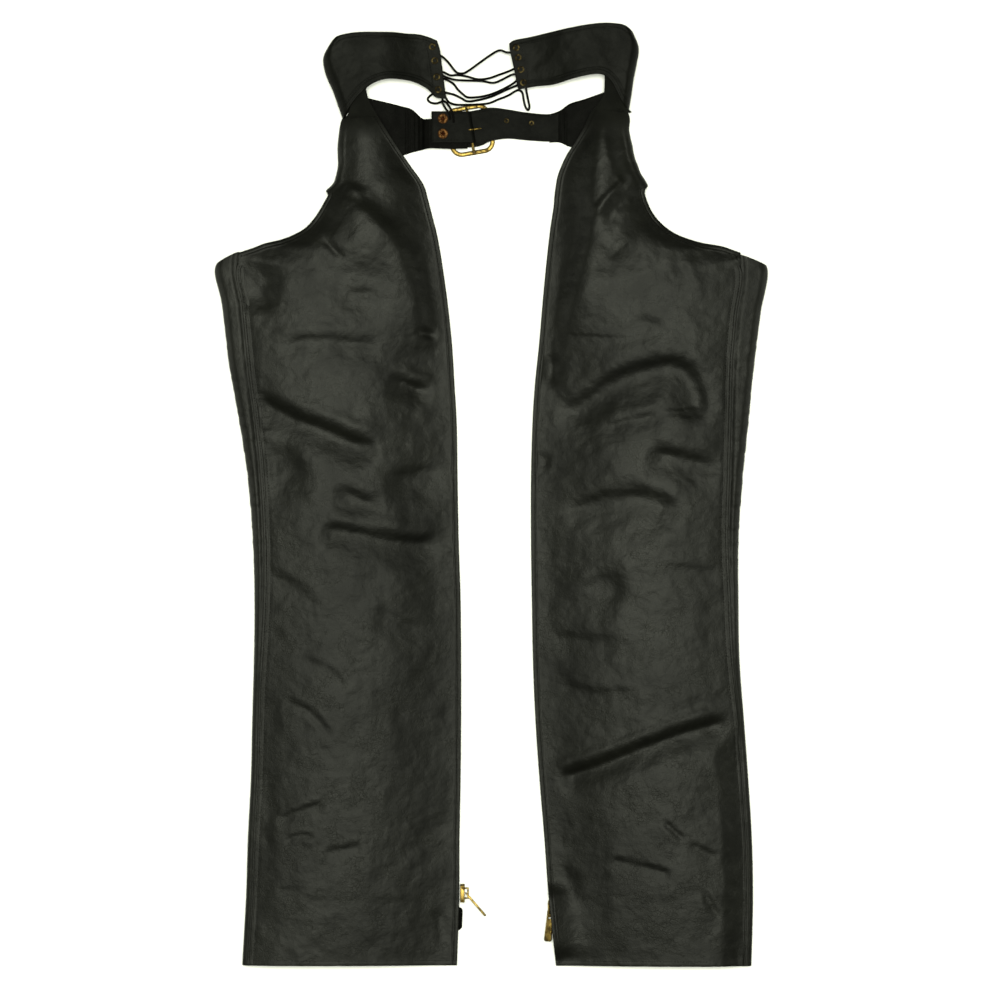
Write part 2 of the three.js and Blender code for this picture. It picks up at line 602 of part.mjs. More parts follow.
// Yoke: laced edge, upper leather, roll over the hip and flap on the floor
function yoke(side) {
  const edges = yokeEdges[side];
  const rows = 9;
  const nearColumns = 8;
  const foldSteps = 5;
  const columns = nearColumns + foldSteps + 1;
  const plan = (u, v) => {
    const low = alongCurve(edges.lower, u);
    const high = alongCurve(edges.upper, u);
    const lace = alongCurve(edges.lace, v);
    const hip = alongCurve(edges.hip, v);
    const corners = [0, 1].map((a) => alongCurve(a ? edges.upper : edges.lower, 0).clone().lerp(
      alongCurve(a ? edges.upper : edges.lower, 1), u));
    const p = low.clone().lerp(high, v).add(lace.clone().lerp(hip, u));
    return p.sub(corners[0].lerp(corners[1], v));
  };
  const pointAt = (i, j) => {
    const edgeBand = 0.1;
    const v = i <= 1 ? i * edgeBand : i >= rows - 1 ? 1 - (rows - i) * edgeBand : mix(edgeBand, 1 - edgeBand, (i - 1) / (rows - 2));
    const hip = plan(1, v);
    if (j <= nearColumns) {
      const u = j <= 1 ? j * 0.06 : mix(0.06, 1, (j - 1) / (nearColumns - 1));
      const p = plan(u, v);
      const x = p.x - yokeFold * u ** 3;
      return new THREE.Vector3(signOf(side) * x, p.y, yokeHeight(side, x, p.y));
    }
    if (j <= nearColumns + foldSteps) {
      const a = Math.PI * (j - nearColumns) / foldSteps;
      return new THREE.Vector3(signOf(side) * (hip.x - yokeFold + yokeFold * Math.sin(a)), hip.y,
        yokeFold + wall / 2 + yokeFold * Math.cos(a));
    }
    return new THREE.Vector3(signOf(side) * (hip.x - yokeFold - yokeFlap), hip.y, wall / 2);
  };
  const thicknessAt = (i, j) => ((i <= 1 || i >= rows - 1 || j <= 1) && j < nearColumns ? hemWall : wall);
  return shell(rows, columns, pointAt, thicknessAt, side === 'left');
}

// Middle of each lacing eyelet
function eyeletCentres(side) {
  return eyeletPlaces.map((t) => {
    const p = alongCurve(yokeEdges[side].lace, t);
    const x = p.x + eyeletInset;
    return new THREE.Vector3(signOf(side) * x, p.y, yokeHeight(side, x, p.y));
  });
}

// Eyelet: a barrel through the leather with a flange on each face
function eyeletGeometry(flange, bore, leather) {
  const barrel = mix(bore, flange, 0.32);
  const rim = leather / 2 + gap;
  const lip = rim + 0.6;
  const profile = [
    [bore, -lip], [flange, -lip], [flange, -rim], [barrel, -rim],
    [barrel, rim], [flange, rim], [flange, lip], [bore, lip], [bore, -lip],
  ].map(([r, z]) => new THREE.Vector2(r, z));
  const geometry = new THREE.LatheGeometry(profile, 8);
  geometry.rotateX(Math.PI / 2);
  return geometry;
}

// Strip lying across the belt: columns give its lower and upper edge and its height
function beltStrip(columns, steps, heightAt, xAt, thickness, mirrored) {
  const rows = 3;
  const count = (columns.length - 1) * steps;
  const pointAt = (i, j) => {
    const k = j / steps;
    const low = (rowValue(columns, 'low', k) - 0.5) * length;
    const high = (rowValue(columns, 'high', k) - 0.5) * length;
    return new THREE.Vector3(xAt(k), mix(low, high, i / rows), heightAt(k));
  };
  return shell(rows, count, pointAt, () => thickness, mirrored);
}

function beltBase(side) {
  const columns = beltBaseColumns[side];
  const xAt = (k) => signOf(side) * rowValue(columns, 'out', k) * halfWidth;
  const heightAt = (k) => mix(beltWall / 2, barHeight, smooth(rowValue(columns, 'rise', k)));
  return beltStrip(columns, 2, heightAt, xAt, beltWall, side === 'right');
}

function beltTongue() {
  const lap = beltWall + gap + tongueWall / 2;
  const xAt = (k) => rowValue(tongueColumns, 'across', k) * halfWidth;
  const heightAt = (k) => mix(lap, tongueHeight, smooth(rowValue(tongueColumns, 'rise', k)));
  return beltStrip(tongueColumns, 2, heightAt, xAt, tongueWall, true);
}

// Billet: folded round the buckle's bar, both ends riveted to the belt base
function beltBillet() {
  const radius = (billetHigh - billetLow) / 2;
  const start = -billetSpan.out * halfWidth;
  const foldSteps = 6;
  const flatSteps = 3;
  const columns = foldSteps + 2 * flatSteps;
  const pointAt = (i, j) => {
    const y = (mix(billetSpan.low, billetSpan.high, i / 2) - 0.5) * length;
    const turn = buckle.x - Math.tan(frameTurn) * (y - buckle.y);
    if (j <= flatSteps) {
      return new THREE.Vector3(mix(start, turn, j / flatSteps), y, billetHigh);
    }
    if (j <= flatSteps + foldSteps) {
      const a = Math.PI * (j - flatSteps) / foldSteps;
      return new THREE.Vector3(turn + radius * Math.sin(a), y, barHeight + radius * Math.cos(a));
    }
    return new THREE.Vector3(mix(turn, start, (j - flatSteps - foldSteps) / flatSteps), y, billetLow);
  };
  return shell(2, columns, pointAt, () => billetWall, false);
}

const buckle = {
  x: buckleCentre.across * halfWidth,
  y: (buckleCentre.up - 0.5) * length,
};

// Rounded outline of the buckle frame, or of its opening
function roundedOutline(w, h, r, Path) {
  const path = new Path();
  path.moveTo(-w / 2 + r, -h / 2);
  path.lineTo(w / 2 - r, -h / 2);
  path.absarc(w / 2 - r, -h / 2 + r, r, -Math.PI / 2, 0, false);
  path.lineTo(w / 2, h / 2 - r);
  path.absarc(w / 2 - r, h / 2 - r, r, 0, Math.PI / 2, false);
  path.lineTo(-w / 2 + r, h / 2);
  path.absarc(-w / 2 + r, h / 2 - r, r, Math.PI / 2, Math.PI, false);
  path.lineTo(-w / 2, -h / 2 + r);
  path.absarc(-w / 2 + r, -h / 2 + r, r, Math.PI, Math.PI * 1.5, false);
  return path;
}

function roundRod(points, radius, steps, sides) {
  const section = new THREE.Shape();
  for (let i = 0; i < sides; i += 1) {
    const a = 2 * Math.PI * i / sides;
    const px = radius * Math.cos(a);
    const py = radius * Math.sin(a);
    if (i === 0) {
      section.moveTo(px, py);
    } else {
      section.lineTo(px, py);
    }
  }
  const path = new THREE.CatmullRomCurve3(points.map((p) => new THREE.Vector3(...p)), false, 'centripetal');
  return new THREE.ExtrudeGeometry(section, { steps, extrudePath: path, bevelEnabled: false });
}

// Buckle frame with its raised middle bar, as one casting
function buckleFrame() {
  const outline = roundedOutline(frameWidth, frameHeight, 13, THREE.Shape);
  outline.holes.push(roundedOutline(frameWidth - 2 * frameBar, frameHeight - 2 * frameBar, 8, THREE.Path));
  const ring = new THREE.ExtrudeGeometry(outline, { depth: frameThickness, bevelEnabled: false, curveSegments: 4 });
  const end = frameHeight / 2 - frameBar / 2;
  const strap = (billetSpan.high - 0.5) * length - buckle.y + 1.6;
  const rod = roundRod([
    [0, -end, frameThickness / 2], [0, -mix(strap, end, 0.55), mix(barHeight, frameThickness, 0.4)],
    [0, -strap, barHeight - gap], [0, 5 - strap, barHeight], [0, 0, barHeight], [0, strap - 5, barHeight],
    [0, strap, barHeight - gap], [0, mix(strap, end, 0.55), mix(barHeight, frameThickness, 0.4)],
    [0, end, frameThickness / 2],
  ], barRadius, 16, 8);
  const whole = toGeometry(toSolid(ring).add(toSolid(rod)));
  whole.rotateZ(frameTurn);
  whole.translate(buckle.x, buckle.y, 0);
  return whole;
}

// Prong: an eye round the bar, then a rod through the billet's slot and the tongue
function buckleProng() {
  const eye = barRadius + gap + prongRadius;
  const inside = frameWidth / 2 - frameBar - gap - 0.4;
  const loop = [];
  for (let i = 0; i <= 7; i += 1) {
    const a = Math.PI * (1.16 - 1.5 * i / 7);
    loop.push([eye * Math.cos(a), 0, barHeight + eye * Math.sin(a)]);
  }
  loop.push([mix(eye, inside, 0.45), 0, mix(tongueHeight, barHeight, 0.2)]);
  loop.push([mix(eye, inside, 0.75), 0, frameThickness * 0.75]);
  loop.push([inside - prongRadius, 0, frameThickness / 2]);
  const rod = roundRod(loop, prongRadius, 16, 6);
  rod.rotateZ(frameTurn);
  rod.translate(buckle.x, buckle.y, 0);
  return rod;
}

// Clearance shape of the prong, cut from the billet and the tongue
function prongSlot() {
  const slot = new THREE.BoxGeometry(20, 2 * prongRadius + 3, 14);
  slot.rotateZ(frameTurn);
  slot.translate(buckle.x + 6, buckle.y, barHeight - 1.6);
  return toSolid(slot);
}

function rivet() {
  const foot = billetLow - billetWall / 2;
  const seat = billetHigh + billetWall / 2 + gap;
  const profile = [
    [0, foot], [rivetShank, foot], [rivetShank, seat], [rivetRadius, seat],
    [rivetRadius, seat + rivetCap * 0.5], [rivetRadius * 0.7, seat + rivetCap], [0, seat + rivetCap],
  ].map(([r, z]) => new THREE.Vector2(r, z));
  const geometry = new THREE.LatheGeometry(profile, 12);
  geometry.rotateX(Math.PI / 2);
  return geometry;
}

// The lace, one length of cord
function lace() {
  const points = laceRoute.map(([across, up, z]) => [across * halfWidth, (up - 0.5) * length, z]);
  return roundRod(points, laceThickness / 2, laceRoute.length - 1, 8);
}

// Row position of a leg at a share of its length
function rowAt(side, up) {
  const rows = legRows[side];
  let low = 0;
  let high = rows.length - 1;
  for (let i = 0; i < 30; i += 1) {
    const k = (low + high) / 2;
    if (rowValue(rows, 'innUp', k) < up) {
      low = k;
    } else {
      high = k;
    }
  }
  return low;
}

// Zip tape: a strip folded lengthwise between the two leather edges
function zipTape(side) {
  const z = zips[side];
  const rows = 15;
  const bend = 2;
  const pointAt = (i, j) => {
    const up = mix(z.tapeEnd, z.top, (i / rows) ** 1.5);
    const sec = legSection(side, rowAt(side, up));
    const low = wall + gap + tapeWall / 2;
    const high = zipEdge + edgeLift(side, sec.innY) - hemWall / 2 - gap - tapeWall / 2;
    const bulge = z.bulge * smooth((z.bulgeTop - up) / 0.004) * smooth((up - z.tapeEnd) / 0.006 + 0.1);
    const radius = (high - low) / 2;
    const turn = sec.inn + tapeSetback + radius - bulge;
    const reach = sec.inn + tapeSetback + tapeReach;
    let x = turn - radius * Math.sin(Math.PI * (j - 1) / bend);
    let h = mix(low, high, 0.5) - radius * Math.cos(Math.PI * (j - 1) / bend);
    if (j === 0 || j === bend + 2) {
      x = reach;
      h = j === 0 ? low : high;
    }
    return new THREE.Vector3(signOf(side) * x, sec.innY, h);
  };
  return shell(rows, bend + 2, pointAt, () => tapeWall, side === 'right');
}

// Closed row of teeth along the fold of the tape
function zipTeeth(side) {
  const z = zips[side];
  const bottom = z.slider + sliderLength / 2 / length + 0.002;
  const rows = 15;
  const low = wall + gap;
  const middle = low + (zipEdge - hemWall / 2 - gap - low) / 2;
  const pointAt = (i, j) => {
    const up = mix(bottom, z.top, i / rows);
    const sec = legSection(side, rowAt(side, up));
    const outer = sec.inn + tapeSetback - tapeWall / 2 - gap;
    return new THREE.Vector3(signOf(side) * (outer - (1 - j) * teethDepth), sec.innY, middle);
  };
  return shell(rows, 1, pointAt, () => teethHeight, side === 'left');
}

function box(x1, x2, y1, y2, z1, z2) {
  const geometry = new THREE.BoxGeometry(x2 - x1, y2 - y1, z2 - z1);
  geometry.translate((x1 + x2) / 2, (y1 + y2) / 2, (z1 + z2) / 2);
  return toSolid(geometry);
}

// Slider in its own frame: +X out of its face, Y along the zip. Its crown is a bridge
// that the pull's pin swings in.
function zipSlider() {
  const half = sliderLength / 2;
  let solid = box(-sliderThickness, 0, -half, half, -sliderWidth / 2, sliderWidth / 2);
  for (const end of [-1, 1]) {
    const notch = new THREE.CylinderGeometry(3.4, 3.4, sliderThickness + 2, 8);
    notch.rotateZ(Math.PI / 2);
    notch.translate(-sliderThickness / 2, end * (half + 1.4), end * sliderWidth * 0.5);
    solid = solid.subtract(toSolid(notch));
  }
  const outer = crownLength / 2;
  solid = solid.add(box(-0.5, crownDepth, outer - crownBar, outer, -crownBar / 2, crownBar / 2));
  solid = solid.add(box(-0.5, crownDepth, -outer, crownBar - outer, -crownBar / 2, crownBar / 2));
  solid = solid.add(box(crownDepth - crownBar, crownDepth, -outer, outer, -crownBar / 2, crownBar / 2));
  return toGeometry(solid);
}

// Pull in its own frame: pin on the origin along Z, plate along +X
function zipPull() {
  const outline = new THREE.Shape();
  outline.moveTo(-pinRadius, -pullHeadWidth / 2);
  outline.lineTo(pullWindow, -pullHeadWidth / 2);
  outline.lineTo(pullLength - 3, -pullEndWidth / 2);
  outline.quadraticCurveTo(pullLength, -pullEndWidth / 2, pullLength, -pullEndWidth / 4);
  outline.lineTo(pullLength, pullEndWidth / 4);
  outline.quadraticCurveTo(pullLength, pullEndWidth / 2, pullLength - 3, pullEndWidth / 2);
  outline.lineTo(pullWindow, pullHeadWidth / 2);
  outline.lineTo(-pinRadius, pullHeadWidth / 2);
  const side = 1.3;
  const window = new THREE.Path();
  window.moveTo(pinRadius, -pullHeadWidth / 2 + side);
  window.lineTo(pullWindow - 0.4, -pullHeadWidth / 2 + side);
  window.lineTo(pullWindow - 0.4, pullHeadWidth / 2 - side);
  window.lineTo(pinRadius, pullHeadWidth / 2 - side);
  outline.holes.push(window);
  const plate = new THREE.ExtrudeGeometry(outline, { depth: pullThickness, bevelEnabled: false, curveSegments: 3 });
  plate.translate(0, 0, -pullThickness / 2);
  plate.rotateX(Math.PI / 2);
  let solid = toSolid(plate);
  for (const face of [-1, 1]) {
    const y = face * (pinRadius + 1);
    solid = solid.subtract(box(-2, pullWindow - 3, y - 1, y + 1, -pullHeadWidth, pullHeadWidth));
  }
  return toGeometry(solid);
}

const chaps = new THREE.Group();

function add(name, geometry, colour, parent = chaps) {
  const [hex, roughness, metalness] = colours[colour];
  const material = new THREE.MeshStandardMaterial({ color: hex, roughness, metalness });
  const mesh = new THREE.Mesh(geometry, material);
  mesh.name = name;
  parent.add(mesh);
  return mesh;
}

for (const side of ['left', 'right']) {
  add(`leg_back_${side}`, lowerPanel(side), 'leather');
  add(`leg_front_${side}`, upperPanel(side), 'leather');
  add(`hip_front_${side}`, frontHip(side), 'lining');
  const holes = eyeletCentres(side);
  let leather = toSolid(yoke(side));
  for (const p of holes) {
    leather = leather.subtract(punch(p.x, p.y, p.z, mix(eyeletBore, eyeletFlange, 0.32) + gap, 12));
  }
  add(`yoke_${side}`, toGeometry(leather), 'leather');
  holes.forEach((p, i) => {
    add(`lace_eyelet_${side}_${i + 1}`, eyeletGeometry(eyeletFlange, eyeletBore, hemWall), 'brass').position.copy(p);
  });
  add(`zip_tape_${side}`, zipTape(side), 'tape');
  add(`zip_teeth_${side}`, zipTeeth(side), 'brass');
}

// Belt pieces, with the rivets' holes through base and billet
let leftBase = toSolid(beltBase('left'));
let billet = toSolid(beltBillet()).subtract(prongSlot());
for (const place of rivetPlaces) {
  const x = -place.out * halfWidth;
  const y = (place.up - 0.5) * length;
  leftBase = leftBase.subtract(punch(x, y, barHeight, rivetShank + gap, 30));
  billet = billet.subtract(punch(x, y, barHeight, rivetShank + gap, 30));
}
let tongue = toSolid(beltTongue()).subtract(prongSlot());
beltEyeletPlaces.forEach((place, i) => {
  const x = place.across * halfWidth;
  const y = (place.up - 0.5) * length;
  const lap = beltWall + gap + tongueWall / 2;
  const share = [0.66, 0.3][i];
  const z = mix(lap, tongueHeight, share);
  tongue = tongue.subtract(punch(x, y, z, 2.1, 20));
  add(`belt_eyelet_${i + 1}`, eyeletGeometry(beltEyeletFlange, 1.2, tongueWall + 0.6), 'brass').position.set(x, y, z);
});
add('belt_base_left', toGeometry(leftBase), 'lining');
add('belt_base_right', beltBase('right'), 'lining');
add('belt_billet', toGeometry(billet), 'leather');
add('belt_tongue', toGeometry(tongue), 'leather');
rivetPlaces.forEach((place, i) => {
  add(`rivet_${i + 1}`, rivet(), 'copper').position.set(-place.out * halfWidth, (place.up - 0.5) * length, 0);
});
add('buckle_frame', buckleFrame(), 'brass');
add('buckle_prong', buckleProng(), 'brass');
add('back_lace', lace(), 'lace');

// Sliders and their pulls. The left slider faces the middle outside the leather edge,
// and the right one is tucked under the edge and tilted up.
for (const side of ['left', 'right']) {
  const z = zips[side];
  const sec = legSection(side, rowAt(side, z.slider));
  const toMiddle = -signOf(side);
  const holder = new THREE.Group();
  const outside = side === 'left' ? sliderThickness + gap + hemWall / 4 : -1.4;
  holder.position.set(signOf(side) * (sec.inn - outside), sec.innY, side === 'left' ? sliderWidth / 2 + 0.6 : 7.9);
  holder.rotation.y = (toMiddle > 0 ? 0 : Math.PI) + (toMiddle > 0 ? -z.tilt : z.tilt);
  chaps.add(holder);
  add(`zip_slider_${side}`, zipSlider(), 'brass', holder);
  const pull = add(`zip_pull_${side}`, zipPull(), 'brass', holder);
  pull.position.set((crownDepth - crownBar) / 2, z.pinShift, 0);
  pull.rotation.z = z.pullAngle;
}

// Centre the part over its footprint
chaps.updateMatrixWorld(true);
const bounds = new THREE.Box3().setFromObject(chaps, true);
const centre = bounds.getCenter(new THREE.Vector3());
chaps.position.set(-centre.x, -centre.y, -bounds.min.z);

export default chaps;
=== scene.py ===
# Leather motorcycle chaps lying flat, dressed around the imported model.
# Sizes are in millimetres until a mesh is made, and then in metres in the model's frame.
import math

import bmesh
import bpy
import numpy as np
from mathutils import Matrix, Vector
from mathutils.bvhtree import BVHTree


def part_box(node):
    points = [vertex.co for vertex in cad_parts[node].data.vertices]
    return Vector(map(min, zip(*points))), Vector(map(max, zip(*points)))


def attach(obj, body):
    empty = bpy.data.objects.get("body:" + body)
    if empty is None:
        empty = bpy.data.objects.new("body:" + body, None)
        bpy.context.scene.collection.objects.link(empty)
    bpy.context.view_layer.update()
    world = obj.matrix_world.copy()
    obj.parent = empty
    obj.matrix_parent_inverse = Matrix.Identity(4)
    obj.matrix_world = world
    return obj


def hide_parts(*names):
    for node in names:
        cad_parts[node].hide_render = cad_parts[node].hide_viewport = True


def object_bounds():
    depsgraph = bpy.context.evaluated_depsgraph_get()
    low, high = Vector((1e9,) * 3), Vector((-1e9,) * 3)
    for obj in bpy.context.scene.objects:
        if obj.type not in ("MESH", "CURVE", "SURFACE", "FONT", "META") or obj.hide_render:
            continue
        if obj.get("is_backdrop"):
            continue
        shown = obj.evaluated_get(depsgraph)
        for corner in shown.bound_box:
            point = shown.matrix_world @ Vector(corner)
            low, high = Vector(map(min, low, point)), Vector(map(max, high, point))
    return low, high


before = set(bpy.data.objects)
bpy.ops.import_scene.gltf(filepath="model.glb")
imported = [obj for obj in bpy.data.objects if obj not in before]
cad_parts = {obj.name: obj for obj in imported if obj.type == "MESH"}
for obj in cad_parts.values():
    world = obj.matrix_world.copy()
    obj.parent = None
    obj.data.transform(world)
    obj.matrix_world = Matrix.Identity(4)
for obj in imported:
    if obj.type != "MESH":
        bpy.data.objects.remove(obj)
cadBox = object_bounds()
print("frame loaded")

# Named sizes, the same as the model's
size = {
    "length": 1039, "halfWidth": 302, "pile": 34, "wall": 1.6, "hemWall": 2.6, "gap": 0.4,
    "lapRise": 2.8, "legFold": 9, "hipFold": 7, "hipFlap": 15, "backInset": 2, "seamGap": 1.5,
    "yokeFold": 12, "laceEdgeHeight": 16.5, "laceBand": 15, "yokeFlap": 9, "eyeletInset": 7.5,
    "eyeletFlange": 3.9, "eyeletBore": 1.9, "laceThickness": 2.5, "beltWall": 2.2, "tongueWall": 2.4,
    "billetWall": 2, "frameWidth": 50, "frameHeight": 55, "frameBar": 5, "frameThickness": 3.2,
    "frameTurn": 0.17, "barRadius": 1.5, "prongRadius": 1.2, "tapeWall": 0.8, "tapeHollow": 1,
    "tapeReach": 11, "tapeSetback": 2.7, "teethDepth": 1.9, "sliderLength": 20, "zipRoom": 9.5,
    "zipRoomLength": 36, "zipRoomShift": 14,
}
tongueHeight = size["frameThickness"] + size["gap"] + size["tongueWall"] / 2
billetLow = tongueHeight + size["tongueWall"] / 2 + size["gap"] + size["billetWall"] / 2
barHeight = billetLow + size["billetWall"] / 2 + size["gap"] + size["barRadius"]
billetHigh = 2 * barHeight - billetLow
zipEdge = size["wall"] + 2 * size["gap"] + 2 * size["tapeWall"] + size["tapeHollow"] + size["hemWall"] / 2

# Rows of each leg, hem first: outer share, its height share, inner share, its height share
legRows = {
    "left": np.array([
        [0.905, 0.0035, 0.125, 0.0030], [0.891, 0.0757, 0.117, 0.0725], [0.884, 0.1392, 0.116, 0.1361],
        [0.873, 0.2017, 0.112, 0.1996], [0.868, 0.2652, 0.110, 0.2631], [0.862, 0.3287, 0.110, 0.3266],
        [0.860, 0.3912, 0.112, 0.3902], [0.866, 0.4537, 0.119, 0.4537], [0.885, 0.5204, 0.123, 0.5172],
        [0.916, 0.5807, 0.126, 0.5754], [0.953, 0.6411, 0.134, 0.6178], [0.978, 0.7014, 0.143, 0.6601],
        [0.998, 0.7480, 0.159, 0.7046], [0.849, 0.7650, 0.174, 0.7364], [0.758, 0.7718, 0.187, 0.7607],
        [0.685, 0.7819, 0.199, 0.7787], [0.640, 0.7957, 0.214, 0.7957], [0.605, 0.8126, 0.230, 0.8137],
        [0.572, 0.8306, 0.248, 0.8306], [0.556, 0.8507, 0.296, 0.8507], [0.556, 0.8666, 0.336, 0.8677],
        [0.552, 0.8814, 0.372, 0.8835], [0.543, 0.8942, 0.405, 0.8983], [0.512, 0.8970, 0.416, 0.9037],
        [0.488, 0.9047, 0.430, 0.9100], [0.484, 0.9174, 0.448, 0.9206], [0.482, 0.9301, 0.456, 0.9322],
    ]),
    "right": np.array([
        [0.945, 0.0026, 0.236, 0.0026], [0.951, 0.0725, 0.210, 0.0725], [0.947, 0.1361, 0.194, 0.1361],
        [0.934, 0.1996, 0.176, 0.1996], [0.918, 0.2631, 0.161, 0.2631], [0.902, 0.3266, 0.152, 0.3266],
        [0.898, 0.3902, 0.148, 0.3902], [0.898, 0.4537, 0.145, 0.4537], [0.913, 0.5172, 0.145, 0.5172],
        [0.933, 0.5754, 0.150, 0.5754], [0.953, 0.6337, 0.159, 0.6178], [0.978, 0.6919, 0.174, 0.6601],
        [1.000, 0.7459, 0.188, 0.7078], [0.869, 0.7618, 0.199, 0.7417], [0.760, 0.7681, 0.208, 0.7660],
        [0.669, 0.7777, 0.217, 0.7872], [0.603, 0.7935, 0.227, 0.8062], [0.565, 0.8137, 0.232, 0.8221],
        [0.545, 0.8391, 0.243, 0.8401], [0.520, 0.8581, 0.272, 0.8602], [0.510, 0.8729, 0.305, 0.8751],
        [0.500, 0.8878, 0.338, 0.8909], [0.501, 0.8984, 0.360, 0.9047], [0.471, 0.9037, 0.378, 0.9111],
        [0.449, 0.9111, 0.392, 0.9164], [0.440, 0.9217, 0.410, 0.9259], [0.434, 0.9470, 0.412, 0.9491],
    ]),
}
rowColumn = {"out": 0, "outUp": 1, "inn": 2, "innUp": 3}
lastTubeRow, firstHipRow, lastHipRow = 12, 18, 22

# Height share and share of the half width: how far the inseam lies in from the outer edge
seamInset = {
    "left": [(0, 0.012), (0.3, 0.016), (0.4, 0.030), (0.52, 0.042), (0.65, 0.066), (0.748, 0.074)],
    "right": [(0, 0.006), (0.26, 0.010), (0.33, 0.018), (0.4, 0.026), (0.52, 0.044), (0.65, 0.078),
              (0.746, 0.092)],
}
# Height share and share of the pile: how much the leg rises in the middle
crowns = [(0, 0.2), (0.08, 0.3), (0.3, 0.34), (0.55, 0.36), (0.72, 0.38), (0.8, 0.34), (0.86, 0.2), (1, 0.06)]

